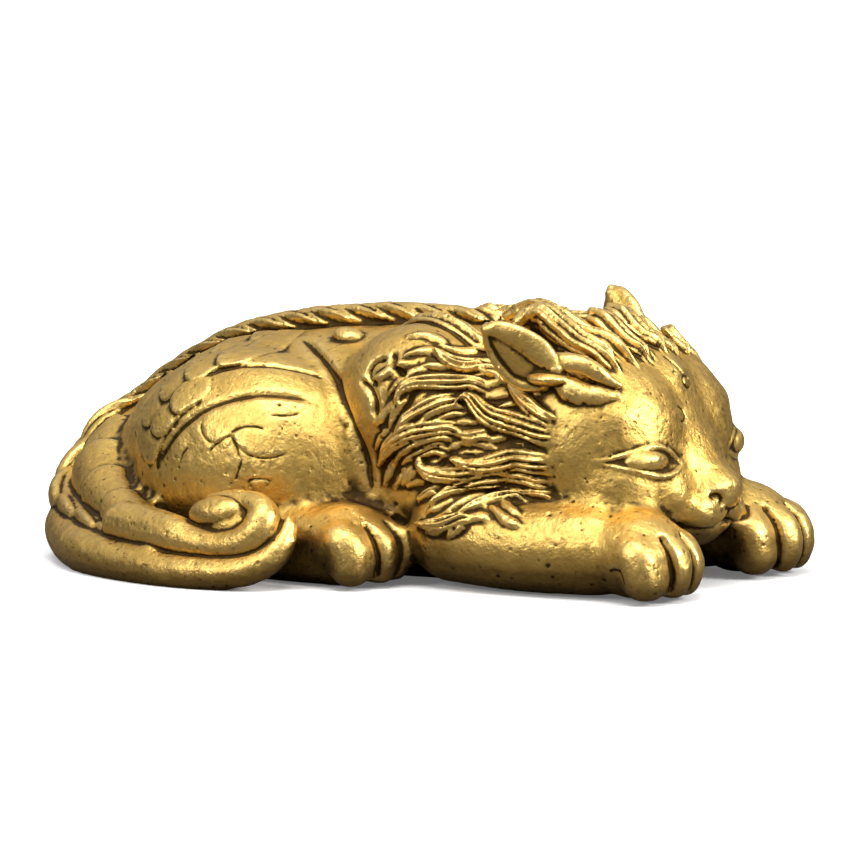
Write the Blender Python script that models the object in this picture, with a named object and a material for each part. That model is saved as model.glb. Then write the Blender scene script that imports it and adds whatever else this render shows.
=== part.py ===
"""A sleeping qilin cast in brass as a paperweight: one closed solid, resting on its flat underside.

+X runs from the tail to the nose, +Y is the beast's left flank and +Z is up. The tail curls round the
right flank, on the -Y side. Lengths are in millimetres until the casting is finished, and MM turns them
into metres.
The beast is built the way a wax for casting is: lumps are pressed together and softened, hair and scales
are laid on, the creases are cut, and the underside is rubbed flat.
"""

import math

import bmesh
import bpy
import numpy as np
from mathutils import Euler, Matrix, Vector
from mathutils.bvhtree import BVHTree

MM = 0.001
RIGHT, LEFT = -1, 1
BOTH = (RIGHT, LEFT)

# Driving sizes of the wax, in millimetres.
FORM_VOXEL = 0.9
FORM_SOFTENING = 6
DETAIL_VOXEL = 0.5
DETAIL_SOFTENING = 1
TRIANGLES = 9400

# Torso sections from rump to chest: x, height of the middle, half width, half height.
TORSO = [
    (-49.0, 10.0, 6.0, 7.0),
    (-45.0, 11.0, 14.0, 12.0),
    (-38.0, 13.0, 20.0, 16.0),
    (-28.0, 14.5, 23.0, 19.0),
    (-15.0, 15.5, 23.0, 20.0),
    (-2.0, 16.0, 20.5, 20.5),
    (10.0, 16.5, 20.0, 20.5),
    (20.0, 16.5, 19.0, 20.0),
    (28.0, 15.0, 14.0, 16.0),
]

# The tail lies on the ground in two bands. The ridge of the spine ends between them: x, y, z, radius.
UPPER_BAND = [
    (-38.0, 3.0, 19.5, 6.0),
    (-46.0, 0.0, 17.5, 5.8),
    (-49.0, -5.8, 14.5, 6.2),
    (-48.1, -11.8, 12.2, 6.1),
    (-45.1, -17.4, 10.4, 5.3),
    (-40.8, -22.2, 9.2, 4.2),
    (-35.5, -27.0, 7.9, 3.6),
    (-29.0, -31.6, 6.9, 3.4),
    (-22.5, -35.2, 6.6, 3.1),
]
LOWER_BAND = [
    (-42.0, 0.0, 12.0, 6.0),
    (-49.5, -4.0, 10.0, 5.6),
    (-52.6, -11.0, 7.0, 4.8),
    (-51.8, -18.0, 4.8, 4.3),
    (-46.4, -25.4, 3.4, 3.8),
    (-38.6, -32.0, 2.7, 3.5),
    (-28.0, -36.6, 2.3, 3.0),
    (-18.0, -38.4, 2.1, 2.7),
    (-10.0, -37.8, 2.6, 2.5),
    (-5.6, -36.0, 4.3, 2.4),
    (-3.6, -33.8, 7.6, 1.9),
    (-4.0, -32.0, 11.0, 1.0),
]
TAIL_CORE = [
    (-49.0, -14.0, 6.5, 4.5),
    (-46.5, -21.0, 5.0, 4.0),
    (-41.5, -26.0, 3.6, 3.4),
    (-34.0, -30.5, 2.8, 3.0),
    (-22.0, -34.5, 2.4, 2.6),
]
TAIL_WEB = [
    (-44.5, -3.0, 18.5, 4.4),
    (-45.0, -8.0, 14.5, 4.4),
    (-43.5, -12.5, 10.5, 4.2),
    (-39.5, -17.5, 7.5, 3.8),
    (-34.0, -22.0, 5.0, 3.2),
]
RIDGE = [
    (13.0, 0.0, 36.4, 2.6),
    (0.0, 0.0, 36.6, 2.6),
    (-8.0, 0.0, 36.3, 2.7),
    (-22.0, 0.0, 34.6, 2.8),
    (-33.0, 0.0, 31.8, 2.8),
    (-44.0, 0.0, 26.2, 2.7),
    (-51.0, -1.5, 20.6, 2.6),
    (-53.8, -5.5, 17.0, 2.5),
    (-55.4, -9.0, 13.8, 2.4),
    (-55.6, -13.0, 11.0, 2.3),
    (-53.2, -17.5, 9.0, 2.3),
    (-48.2, -22.0, 7.6, 2.2),
    (-41.8, -26.6, 6.6, 2.1),
    (-34.5, -31.2, 5.4, 1.8),
    (-27.5, -34.9, 4.6, 0.8),
]

# The strands of the ridge lie a step apart and reach this far each way. Past the run they are leaves.
RIDGE_STEP = 5.8
RIDGE_REACH = 9.0
RIDGE_RUN = 66.0

# Each leaf of the ridge: how far along, how far out, and its shares of the ridge's radius, wide and high.
LEAF = ((0.0, -0.4, 0.5, 0.4), (4.2, 0.3, 0.9, 0.55), (8.4, 0.7, 0.75, 0.5), (12.6, 0.7, 0.1, 0.1))

# Plates of the upper band, and the curl at its end: across and up from the middle, how far out, and radius.
PLATE = 8.6
COIL_CENTRE, COIL_ACROSS, COIL_UP = (-11.3, -35.0, 9.5), (0.98, -0.05, -0.06), (0.0, 0.45, 0.88)
COIL = [
    (-22.5, -1.9, -3.8, 3.3),
    (-16.5, -2.7, -2.2, 3.5),
    (-10.5, -3.4, -0.4, 3.1),
    (-6.5, -3.9, 0, 2.5),
    (-2.5, -4.0, 0, 2.3),
    (1.2, -3.2, 0, 2.4),
    (3.7, -1.4, 0, 2.6),
    (4.4, 0.9, 0, 2.7),
    (3.2, 2.7, 0, 2.2),
    (0.6, 3.2, 0, 1.8),
    (-2.6, 3.0, 0, 1.6),
    (-5.0, 2.2, 0, 1.5),
]

# Creases drawn on each flank: width, depth, start as x and z, heading, turn and length.
FLANK_CREASES = [
    (0.6, 0.45, (-30.4, 15.0), 68, -88, 29.5),
    (0.45, 0.5, (-24.6, 29.2), 24, -50, 17.6),
    (0.6, 0.8, (-17.0, 34.0), -8, -78, 31.0),
    (0.45, 0.8, (9.0, 30.8), 178, -85, 5.0),
    (0.45, 0.8, (4.9, 32.4), 150, 225, 7.0),
    (0.5, 0.7, (0.6, 29.4), -5, -100, 7.0),
]

# Lines of the face, as distance from the middle and height.
MOUTH = ((0, 9.8), (3, 8.9), (6, 8.9), (8.6, 9.8), (11, 11))
NOSTRIL = ((4.9, 13.5), (4.2, 14.0), (3.4, 13.8), (3.1, 13.0), (3.5, 12.3))
LIP = ((2.2, 12.2), (1.2, 11.6), (0, 11.3), (0, 9.9))
EYE_OUT = 1.2
LID_ASIDE = (17.6, 15.0, 12.2, 9.6, 6.7)
UPPER_LID = (19.3, 20.4, 21.3, 20.8, 18.6)
LOWER_LID = (19.2, 18.0, 17.2, 17.3, 18.3)

# Toes of a paw: how far to the side, how far back, half width. The clefts between them follow.
TOES = ((-5.4, 2.4, 3.2), (-1.0, 0.2, 2.6), (2.7, 0.0, 2.5), (5.7, 1.6, 2.3))
CLEFTS = ((-3.1, 1.0), (0.9, 0.0), (4.3, 0.7))
FRONT_PAW, HIND_PAW = (45.4, 16.4), (1.8, 24.0)
FAR_PAW = 1.08
EARS = ((RIGHT, (21.6, -20.0, 37.6), (30.6, -17.4, 31.0)), (LEFT, (21.6, 19.6, 40.6), (27.2, 16.0, 31.4)))

# Locks of the mane on each flank: root x and z, heading and turn in degrees, length, sway, hook, half width.
# A heading of 180 runs straight back. Less of it rises and more of it falls.
MANE = [
    (32.5, 23.0, 196, -85, 18.0, -18, 125, 1.9),
    (32.0, 18.6, 186, -8, 16.0, -17, 0, 1.9),
    (23.5, 17.0, 180, 16, 14.2, 0, -120, 1.6),
    (24.5, 16.0, 176, 50, 11.4, 0, 0, 1.5),
    (18.8, 32.0, 200, -75, 7.8, 0, 30, 1.3),
    (21.5, 28.4, 168, 10, 15.6, 0, 130, 1.4),
    (18.6, 21.4, 146, 100, 17.0, 0, 0, 1.6),
    (32.0, 24.6, 168, -28, 10.2, -10, 0, 1.3),
    (22.5, 29.6, 140, 50, 6.0, 0, 0, 1.1),
    (17.8, 26.9, 170, 66, 11.5, 0, 0, 1.4),
    (21.8, 11.4, 204, -24, 9.8, 0, 0, 1.3),
    (28.5, 13.4, 166, 56, 10.0, 0, 0, 1.3),
    (17.0, 20.6, 148, 92, 11.5, 0, 0, 1.2),
    (18.8, 25.4, 172, 62, 12.0, 0, 0, 1.1),
    (22.2, 22.9, 205, -40, 5.5, 0, 0, 1.0),
    (31.5, 15.8, 180, -14, 10.5, -6, 0, 1.0),
    (16.6, 19.0, 150, 78, 9.5, 0, 0, 1.0),
    (31.8, 14.3, 182, -12, 7.2, 0, 0, 0.9),
    (14.2, 14.0, 185, 40, 4.0, 0, 0, 1.0),
    (11.4, 17.8, 205, 35, 5.0, 0, 0, 0.9),
    (20.6, 10.2, 210, 15, 3.6, 0, 0, 0.9),
    (9.5, 28.0, 230, 20, 5.5, 0, 0, 0.9),
]

# Locks of the crown, from the forehead back: root x and y, heading, turn, length, sway, hook, half width,
# height of the crest, and whether the end is blunt. A heading of 180 runs straight back.
CROWN = [
    (38.0, 12.8, 175, 5, 14.0, 0, 0, 1.6, 35.5, 0),
    (40.6, 8.0, 165, -8, 6.0, 0, 0, 1.3, 35.8, 1),
    (41.0, 3.4, 170, -8, 9.0, 0, 0, 1.5, 37.2, 1),
    (41.4, -0.2, 174, -12, 12.0, 0, 0, 1.8, 38.8, 1),
    (40.8, -4.4, 178, -10, 11.2, 0, 0, 2.1, 38.0, 1),
    (30.0, 7.0, 182, 10, 21.0, 8, 0, 1.9, 37.2, 0),
    (26.0, 1.0, 180, 0, 14.0, 0, 0, 1.8, 38.6, 0),
    (16.5, 0.5, 180, 0, 7.5, 0, 0, 1.4, 38.6, 1),
    (40.6, -7.8, 180, -20, 24.0, 0, 30, 2.2, 40.0, 0),
    (39.6, -11.4, 184, -44, 19.5, 0, 100, 2.3, 39.4, 0),
    (21.0, -10.2, 184, -24, 21.5, 0, 0, 2.2, 36.8, 0),
    (21.0, 11.0, 178, 20, 21.5, 0, 0, 2.0, 36.8, 0),
]
WAVE = 12.0


class Clay:
    """Closed lumps gathered as one list of points and triangles."""

    def __init__(self):
        self.points, self.faces, self.count = [], [], 0

    def add(self, points, faces):
        self.points.append(np.asarray(points, float))
        self.faces.extend((np.asarray(faces) + self.count).tolist())
        self.count += len(points)

    def to_object(self, name):
        mesh = bpy.data.meshes.new(name)
        mesh.from_pydata(np.vstack(self.points).tolist(), [], self.faces)
        obj = bpy.data.objects.new(name, mesh)
        bpy.context.scene.collection.objects.link(obj)
        return obj


def unit(vectors):
    return vectors / np.linalg.norm(vectors, axis=-1, keepdims=True)


def spline(rows, steps=6):
    """A smooth curve through the rows (Catmull-Rom), which may carry sizes beside their positions."""
    rows = np.asarray(rows, float)
    padded = np.vstack([2 * rows[0] - rows[1], rows, 2 * rows[-1] - rows[-2]])
    t = (np.arange(steps) / steps)[:, None]
    spans = [
        0.5 * (2 * b + (c - a) * t + (2 * a - 5 * b + 4 * c - d) * t**2 + (3 * b - a - 3 * c + d) * t**3)
        for a, b, c, d in zip(padded, padded[1:], padded[2:], padded[3:])
    ]
    return np.vstack(spans + [rows[-1:]])


def wander(start, heading, turn, length, sway=0, hook=0, steps=24):
    """A line in a plane. It sets off along heading, turns steadily, sways every WAVE and hooks at the end."""
    t = (np.arange(steps) + 0.5) / steps
    angle = np.radians(heading + turn * t + sway * np.sin(math.tau * t * length / WAVE) + hook * t**6)
    strides = np.stack([np.cos(angle), np.sin(angle)], 1) * length / steps
    return np.vstack([[start], np.asarray(start) + np.cumsum(strides, axis=0)])


def ball(clay, centre, radii, turn=(0, 0, 0)):
    """An ellipsoid, turned by degrees about X, Y and Z."""
    shape = bmesh.new()
    bmesh.ops.create_icosphere(shape, subdivisions=4, radius=1)
    points = np.array([v.co for v in shape.verts])
    faces = [[v.index for v in f.verts] for f in shape.faces]
    shape.free()
    spin = np.array(Euler([math.radians(a) for a in turn]).to_matrix())
    clay.add((points * radii) @ spin.T + centre, faces)


def sweep(clay, path, wide, high, up, around=16, relief=None):
    """A closed bar along path. wide and high are its half sizes at each point, and up is where its top faces.
    relief(run, angle) scales the section. run is the length along the path, and angle is 0 at its right."""
    path, up = np.asarray(path, float), np.broadcast_to(up, np.shape(path))
    ahead = unit(np.gradient(path, axis=0))
    side = unit(np.cross(ahead, up))
    top = np.cross(side, ahead)
    angle = np.arange(around) * math.tau / around
    scale = 1.0
    if relief:
        run = np.concatenate([[0], np.cumsum(np.linalg.norm(np.diff(path, axis=0), axis=1))])
        scale = relief(run[:, None], angle[None])
    across = (np.outer(wide, np.cos(angle)) * scale)[..., None] * side[:, None]
    above = (np.outer(high, np.sin(angle)) * scale)[..., None] * top[:, None]
    rings = (path[:, None] + across + above).reshape(-1, 3)
    count, rim = len(path), np.arange(around)
    turn = np.roll(rim, -1)
    start, end = count * around, count * around + 1
    walls = [
        np.stack([rim + k * around, turn + k * around, turn + (k + 1) * around, rim + (k + 1) * around], 1)
        for k in range(count - 1)
    ]
    clay.add(np.vstack([rings, path[:1], path[-1:]]), np.vstack(walls))
    base, last = clay.count - count * around - 2, (count - 1) * around
    for a, b in zip(rim.tolist(), turn.tolist()):
        clay.faces.append([base + start, base + b, base + a])
        clay.faces.append([base + end, base + last + a, base + last + b])


def limb(clay, stations, up=(0, 0, 1)):
    """A rounded bar through stations of x, y, z, half width and half height, closed by a ball at each end."""
    line = spline(stations)
    sweep(clay, line[:, :3], line[:, 3], line[:, 4], up)
    for x, y, z, wide, high in (line[0], line[-1]):
        ball(clay, (x, y, z), (wide, wide, high))


def torso(clay):
    line = spline([(x, 0, z, wide, high) for x, z, wide, high in TORSO])
    sweep(clay, line[:, :3], line[:, 3], line[:, 4], (0, 0, 1), around=32)


def haunch(clay, flank):
    ball(clay, (-19.5, flank * 15.5, 15.5), (20.5, 13.5, 17.0), (0, 8, 0))
    limb(clay, [(-16, flank * 22, 5, 6, 6), (-6, flank * 24, 5.5, 6, 6), (0, flank * 24, 5.6, 6.6, 6.0)])
    ball(clay, (0.5, flank * 24, 6.0), (7.6, 6.8, 6.0))


def foreleg(clay, flank):
    ball(clay, (6, flank * 11.5, 25), (13, 10.5, 12.5))
    stations = ((15, 17.5, 7.5, 6.5, 7.0), (26, 18.2, 6.6, 6.6, 6.6), (38, 17.2, 6.6, 6.2, 6.6))
    limb(clay, [(x, flank * y, z, wide, high) for x, y, z, wide, high in stations])
    size = FAR_PAW if flank == LEFT else 1
    ball(clay, (42.4 + 2.0 * size, flank * 16.4, 6.4 * size), (7.6 * size, 7.2 * size, 6.4 * size))


def toes(clay, x, y, size=1.0):
    """Four toes curled down over the front of a paw whose middle is at x, y. The widest is set back."""
    for aside, back, wide in TOES:
        rows = ((1.6, 6.0, 2.4, 2.4), (3.4, 6.9, wide, 3.2), (4.9, 5.7, wide, 3.1), (5.1, 3.2, wide, 2.9))
        stations = []
        for ahead, z, half, high in rows:
            stations.append((x + (ahead - back) * size, y + aside * size, z * size, half * size, high * size))
        limb(clay, stations, (1, 0, 1))


def head(clay):
    ball(clay, (29.4, 0, 20.8), (16.8, 16.0, 15.6))
    ball(clay, (24.0, 0, 30.0), (12.0, 12.5, 8.2))
    for flank in BOTH:
        out = EYE_OUT if flank == LEFT else 0
        ball(clay, (30.4 + out * 0.5, flank * (6.4 + out), 20.6), (15.6, 12.6, 15.2))
        ball(clay, (37.0, flank * (9.0 + out), 15.0), (9.6, 9.0, 8.5))
        ball(clay, (42.4, flank * 6.8, 14.2), (5.8, 5.6, 5.6))
        ball(clay, (46.6, flank * 3.4, 11.4), (4.6, 4.8, 3.6))
        brow = (39.2 + out * 0.8, flank * (11.6 + out), 24.2 + out * 0.5)
        ball(clay, brow, (4.0, 5.4, 4.4), (0, 0, flank * 30))
    ball(clay, (36.0, 0, 12.0), (13.0, 12.6, 8.5))
    ball(clay, (43.4, 0, 12.0), (7.0, 9.6, 5.8))
    ball(clay, (45.0, 0, 9.6), (4.6, 5.4, 3.9))
    limb(clay, [(35.8, 0, 27.0, 8.4, 8.4), (42.3, 0, 20.0, 8.2, 5.6), (47.6, 0, 14.4, 4.9, 3.6)], (1, 0, 0))


def form():
    """The beast without its surface: body, legs, head and tail."""
    clay = Clay()
    torso(clay)
    ball(clay, (18, 0, 19.0), (17.0, 20.0, 18.0))
    head(clay)
    for flank in BOTH:
        haunch(clay, flank)
        foreleg(clay, flank)
        size = FAR_PAW if flank == LEFT else 1
        toes(clay, FRONT_PAW[0] * (1 + (size - 1) / 3), flank * FRONT_PAW[1], size)
        toes(clay, HIND_PAW[0], flank * HIND_PAW[1])
    for band in (UPPER_BAND, LOWER_BAND, TAIL_CORE, TAIL_WEB):
        line = spline(band)
        sweep(clay, line[:, :3], line[:, 3], line[:, 3], (0, 0, 1))
    return clay


def fuse(clay, name, voxel, softening, finer=0):
    """Presses the lumps into one skin with a voxel remesh, softens it and keeps only its outer skin.
    finer rounds of subdivision then take away the flat facets of a coarse remesh."""
    obj = clay.to_object(name)
    remesh = obj.modifiers.new("Press", "REMESH")
    remesh.mode = "VOXEL"
    remesh.voxel_size = voxel
    smooth = obj.modifiers.new("Soften", "SMOOTH")
    smooth.iterations = softening
    if finer:
        obj.modifiers.new("Round", "SUBSURF").levels = finer
    graph = bpy.context.evaluated_depsgraph_get()
    fused = bpy.data.meshes.new_from_object(obj.evaluated_get(graph))
    bpy.data.objects.remove(obj)
    points, faces = arrays(fused)
    return outer_skin(points, faces)


def arrays(mesh):
    """The points and the four-cornered faces of a mesh."""
    points, faces = np.empty(len(mesh.vertices) * 3), np.empty(len(mesh.polygons) * 4, int)
    mesh.vertices.foreach_get("co", points)
    mesh.polygons.foreach_get("vertices", faces)
    return points.reshape(-1, 3), faces.reshape(-1, 4)


def outer_skin(points, faces):
    """Drops every piece but the biggest, such as a bubble left inside between lumps."""
    label = np.arange(len(points))
    one, two = faces.ravel(), np.roll(faces, -1, axis=1).ravel()
    while True:
        low = np.minimum(label[one], label[two])
        following = label.copy()
        np.minimum.at(following, one, low)
        np.minimum.at(following, two, low)
        following = following[following]
        if (following == label).all():
            break
        label = following
    biggest = np.bincount(label).argmax()
    keep = label == biggest
    number = np.cumsum(keep) - 1
    return points[keep], number[faces[keep[faces[:, 0]]]]


def normals_of(points, faces):
    across = points[faces[:, 2]] - points[faces[:, 0]]
    along = points[faces[:, 3]] - points[faces[:, 1]]
    facing = np.cross(across, along)
    total = np.zeros_like(points)
    for corner in range(4):
        for axis in range(3):
            total[:, axis] += np.bincount(faces[:, corner], facing[:, axis], len(points))
    return unit(total)


class Skin:
    """A surface to lay things on."""

    def __init__(self, points, faces):
        self.tree = BVHTree.FromPolygons(points.tolist(), [list(dict.fromkeys(f)) for f in faces.tolist()])

    def snap(self, path):
        """The nearest places on the skin to each point, and which way the skin faces there."""
        hits = [self.tree.find_nearest(Vector(p))[:2] for p in path]
        places, facing = np.array([h[0] for h in hits]), np.array([h[1] for h in hits])
        for _ in range(3):
            padded = np.vstack([facing[:1], facing, facing[-1:]])
            facing = unit(padded[:-2] + padded[1:-1] * 2 + padded[2:])
        return places, facing

    def cast(self, origins, direction):
        hits = [self.tree.ray_cast(Vector(o), Vector(direction)) for o in origins]
        return np.array([h[0] if h[0] else o for h, o in zip(hits, origins)])

    def flank(self, side, pairs):
        """Points on a flank, from pairs of x and z."""
        return self.cast([(x, side * 90, z) for x, z in pairs], (0, -side, 0))

    def top(self, pairs):
        """Points on the back or the crown, from pairs of x and y."""
        return self.cast([(x, y, 90) for x, y in pairs], (0, 0, -1))

    def front(self, pairs):
        """Points on the face, from pairs of y and z."""
        return self.cast([(90, y, z) for y, z in pairs], (-1, 0, 0))


class Hair:
    """Combed locks, gathered as lines on the skin and raised from it all together."""

    POINTED = (0.75, 0.95, 1.0, 0.72, 0.2)
    BLUNT = (0.6, 0.75, 0.95, 1.0, 0.75)

    def __init__(self):
        self.locks = []

    def add(self, path, up, half, strands=4, tall=0.8, bed=0.0, groove=0.65, widths=POINTED):
        up = np.broadcast_to(up, np.shape(path))
        self.locks.append((path, up, half, strands, tall, bed, groove, widths))

    def raise_from(self, points, faces):
        """Lifts the skin under every lock by its bed and a dome of strands. Of two locks the higher shows."""
        facing, height = normals_of(points, faces), np.zeros(len(points))
        order = np.argsort(points[:, 0])
        along_x = points[order, 0]
        for path, up, half, strands, tall, bed, groove, widths in self.locks:
            low, high = path.min(0) - half - 1, path.max(0) + half + 1
            near = order[np.searchsorted(along_x, low[0]) : np.searchsorted(along_x, high[0])]
            near = near[((points[near] > low) & (points[near] < high)).all(1)]
            start, step = path[:-1], np.diff(path, axis=0)
            offset = points[near][:, None] - start
            t = np.clip((offset * step).sum(-1) / (step * step).sum(-1), 0, 1)
            gap = offset - t[..., None] * step
            best = (gap**2).sum(-1).argmin(1)
            pick = np.arange(len(near))
            gap, t = gap[pick, best], t[pick, best]
            along = (best + t) / len(step)
            over = unit(up[best] * (1 - t)[:, None] + up[best + 1] * t[:, None])
            depth = (gap * over).sum(-1)
            aside = np.sqrt(np.maximum((gap**2).sum(-1) - depth**2, 0))
            left = np.sign((gap * np.cross(step[best], over)).sum(-1))
            rim = aside / (half * np.interp(along, [0, 0.12, 0.5, 0.8, 1], widths))
            cell = (left * np.minimum(rim, 1) + 1) / 2 * strands + 0.2 * np.sin(along * 8 + strands)
            strand = np.floor(cell)
            ridge = np.sin(math.pi * (cell - strand)) ** 1.1
            root = np.clip((along - 0.09 * np.abs(np.sin(strand * 2.1 + half * 9))) / 0.2, 0, 1)
            level = 1 - groove * (1 - ridge) - 0.12 * (1 + np.sin(strand * 2.4 + half * 7))
            started = np.clip(ridge - 1 + root * 1.6, 0, 1)
            dome = half * tall * np.clip(1 - rim**2, 0, 1) ** 0.6 * level * started
            firm = np.clip((1 - rim) / 0.25, 0, 1) * np.clip(along / 0.2, 0, 1)
            seen = np.clip((half * 0.6 + 1.0 - np.abs(depth)) / 0.4, 0, 1)
            seen *= np.clip(((facing[near] * over).sum(-1) - 0.15) / 0.25, 0, 1)
            height[near] = np.maximum(height[near], (bed * firm + dome) * seen)
        points += facing * evened(height, faces)[:, None]


def evened(values, faces):
    """Each value drawn halfway to the mean of its neighbours."""
    total = np.zeros(len(values))
    for turn in (1, 3):
        total += np.bincount(faces.ravel(), values[np.roll(faces, turn, axis=1)].ravel(), len(values))
    return values / 2 + total / 4 / np.maximum(np.bincount(faces.ravel(), minlength=len(values)), 1)


def mane(hair, skin):
    for flank in BOTH:
        for order, (x, z, heading, turn, length, sway, hook, half) in enumerate(reversed(MANE)):
            pairs = wander((x, z), heading, turn, length, sway, hook)
            path, facing = skin.snap(skin.flank(flank, pairs))
            strands = max(2, round(half * 2.2))
            hair.add(path, facing, half, strands, tall=0.75, bed=0.35 + 0.5 * order / len(MANE))


def crown(clay, hair, skin):
    for x, y, heading, turn, length, sway, hook, half, crest, blunt in CROWN:
        plan = wander((x, y), heading, turn, length, sway, hook)
        path, facing = skin.snap(skin.top(plan))
        lift = max(0, crest - path[len(path) * 3 // 4, 2])
        run = np.linspace(0, 1, len(path))
        ends = [0.9, 0.8] if blunt else [0.95, 0.7]
        rise = lift * np.interp(run, [0, 0.4, 0.78, 0.92, 1], [0, 0.15, 1.0, *ends])
        path[:, 2] += rise
        widths = Hair.BLUNT if blunt else Hair.POINTED
        core = half * 0.8 * np.interp(run, [0, 0.12, 0.5, 0.8, 1], widths) * np.clip(run / 0.24, 0.08, 1)
        sweep(clay, path - facing * rise[:, None] * 0.5, core, core * 0.6 + rise * 0.5, facing)
        hair.add(path + facing * half * 0.4, facing, half, round(half * 2), tall=0.55, widths=widths)


def comb(hair, skin):
    """Thin hairs that fill the ground between the locks, flowing back from the face and down at the back."""
    for flank in BOTH:
        for row, root_z in enumerate(np.arange(10.5, 35, 1.5)):
            for root_x in np.arange(30 - row % 3, 9.0, -5.2):
                x, z = root_x, root_z
                pairs = []
                for step in range(9):
                    if x < 13 and z < 14:
                        break
                    pairs.append((x, z))
                    drop = max(0, min(1, (26 - x) / 20)) * max(0, min(1, (36 - z) / 10))
                    heading = -0.15 + 1.1 * drop + 0.35 * math.sin(x * 0.55 + root_z * 0.3)
                    x -= 0.9 * math.cos(heading)
                    z -= 0.9 * math.sin(heading)
                if len(pairs) < 4:
                    continue
                path, facing = skin.snap(skin.flank(flank, pairs))
                hair.add(path, facing, 0.9, 1, tall=0.75, groove=0)


def ear(clay, flank, tip, base):
    """A leaf laid back from base to tip, open to the side, with a broad flap above and a thin rim below."""
    tip, base = np.array(tip), np.array(base)
    lean = unit(tip - base)
    opening = unit(np.array([0.35, flank * 0.88, -0.25]))
    across = unit(np.cross(opening, lean)) * flank
    for offsets, widths, high, sunk in (
        ((-0.4, -0.6, -0.4, 0.0, 0.0), (3.2, 3.5, 3.0, 1.7, 0.7), 1.1, 0.75),
        ((1.6, 2.1, 2.0, 1.2, 0.1), (1.2, 2.0, 1.9, 1.5, 1.0), 1.0, 0.2),
        ((-1.6, -3.6, -3.4, -1.8, -0.1), (0.9, 0.9, 0.8, 0.7, 0.7), 0.8, 0.3),
    ):
        stations = []
        for t, offset, wide in zip((0.0, 0.28, 0.58, 0.86, 1.0), offsets, widths):
            stations.append((*(base + (tip - base) * t + across * offset - opening * sunk), wide, high))
        limb(clay, stations, opening)


def temple(clay, flank, base):
    """Two smooth locks that run forward from the ear to the hairline."""
    for start, heading, turn, length, sway, half in (
        ((28.5, 33.2), -8, -15, 12.5, 16, 1.5),
        ((31.6, 30.4), -36, 50, 8.8, 0, 1.9),
    ):
        plan = wander(start, heading, turn, length, sway)
        aside = flank * np.interp(np.linspace(0, 1, len(plan)), [0, 0.4, 1], [abs(base[1]) - 0.6, 16.2, 13.6])
        path = np.stack([plan[:, 0], aside, plan[:, 1]], 1)
        up = unit(np.array([0.2, flank, 0.4]))
        taper = half * np.interp(np.linspace(0, 1, len(path)), [0, 0.2, 0.7, 1], [0.5, 1, 0.9, 0.25])
        sweep(clay, path, taper, taper * 0.8, up)


def eyes(clay, skin):
    """A closed lid bulges between two thin folds that lie on the skin and meet at both corners."""
    for flank in BOTH:
        out = EYE_OUT if flank == LEFT else 0
        size = 1 + out * 0.15
        middle = (42.9 + out * 0.4, flank * (12.1 + out), 19.1 + out * 0.6)
        ball(clay, middle, (2.5 * size, 3.9, 2.1 * size), (0, 0, flank * 32))
        for heights, thick in ((UPPER_LID, 0.4), (LOWER_LID, 0.34)):
            line = [(flank * (y + out), z + out * 0.6) for y, z in zip(LID_ASIDE, heights)]
            fold = skin.front(spline(line))
            taper = thick * np.interp(np.linspace(0, 1, len(fold)), [0, 0.2, 0.8, 1], [0.3, 1, 1, 0.4])
            sweep(clay, fold, taper, taper, (0, 0, 1))


def along_line(at, run, values):
    """Values of a line at a length along it."""
    return np.stack([np.interp(at, run, column) for column in values.T], -1)


def ridge(clay, hair):
    """The twisted ridge of the spine, which runs out along the tail and ends in a point between its bands."""
    line = spline(RIDGE, 12)
    inner = line[:, :3] * [1, 0, 0] + [0, 0, 12]
    inner[:, 0] = np.clip(inner[:, 0], -45, 5)
    ahead = unit(np.gradient(line[:, :3], axis=0))
    side = unit(np.cross(ahead, line[:, :3] - inner))
    top = np.cross(side, ahead)
    sweep(clay, line[:, :3], line[:, 3] * 0.8, line[:, 3] * 0.8, top)
    run = np.concatenate([[0], np.cumsum(np.linalg.norm(np.diff(line[:, :3], axis=0), axis=1))])
    turn = np.linspace(-1, 1, 17)
    swing = (turn * math.radians(80))[:, None]
    for start in np.arange(0, RIDGE_RUN, RIDGE_STEP):
        at = start + RIDGE_REACH * (1 - turn)
        centre, right, up = (along_line(at, run, values) for values in (line, side, top))
        outward = up * np.cos(swing) - right * np.sin(swing)
        radius = centre[:, 3:]
        path = centre[:, :3] + outward * radius * 0.8
        hair.add(path, outward, radius[8, 0] * 0.5, 2, tall=0.85, groove=0.3)
    for start in np.arange(RIDGE_RUN, run[-1] - 12.6, RIDGE_STEP * 1.4):
        stations = []
        for step, out, wide, high in LEAF:
            x, y, z, radius = along_line(start + step, run, line)
            up = along_line(start + step, run, top)
            place = np.array((x, y, z)) + up * (out + radius * 0.45)
            stations.append((*place, radius * wide, radius * high))
        limb(clay, stations, along_line(start + 4, run, top))


def coil_spot(across, upward, outward=0):
    """A place on the plane of the tail's coil."""
    plane = np.array([COIL_ACROSS, COIL_UP, np.cross(COIL_ACROSS, COIL_UP)])
    return np.array(COIL_CENTRE) + np.array([across, upward, outward]) @ plane


def plates(run, angle):
    """The upper band is a row of plates. Each rises at a rounded front end and thins towards the next."""
    place = (run + 2.8 * np.cos(angle - 0.9)) / PLATE
    place = place - np.floor(place)
    outer = np.clip((np.cos(angle) + 0.75) / 0.5, 0, 1)
    return 0.9 + outer * (0.2 - 0.13 * place - 0.1 * np.exp(-place * 22))


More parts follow.
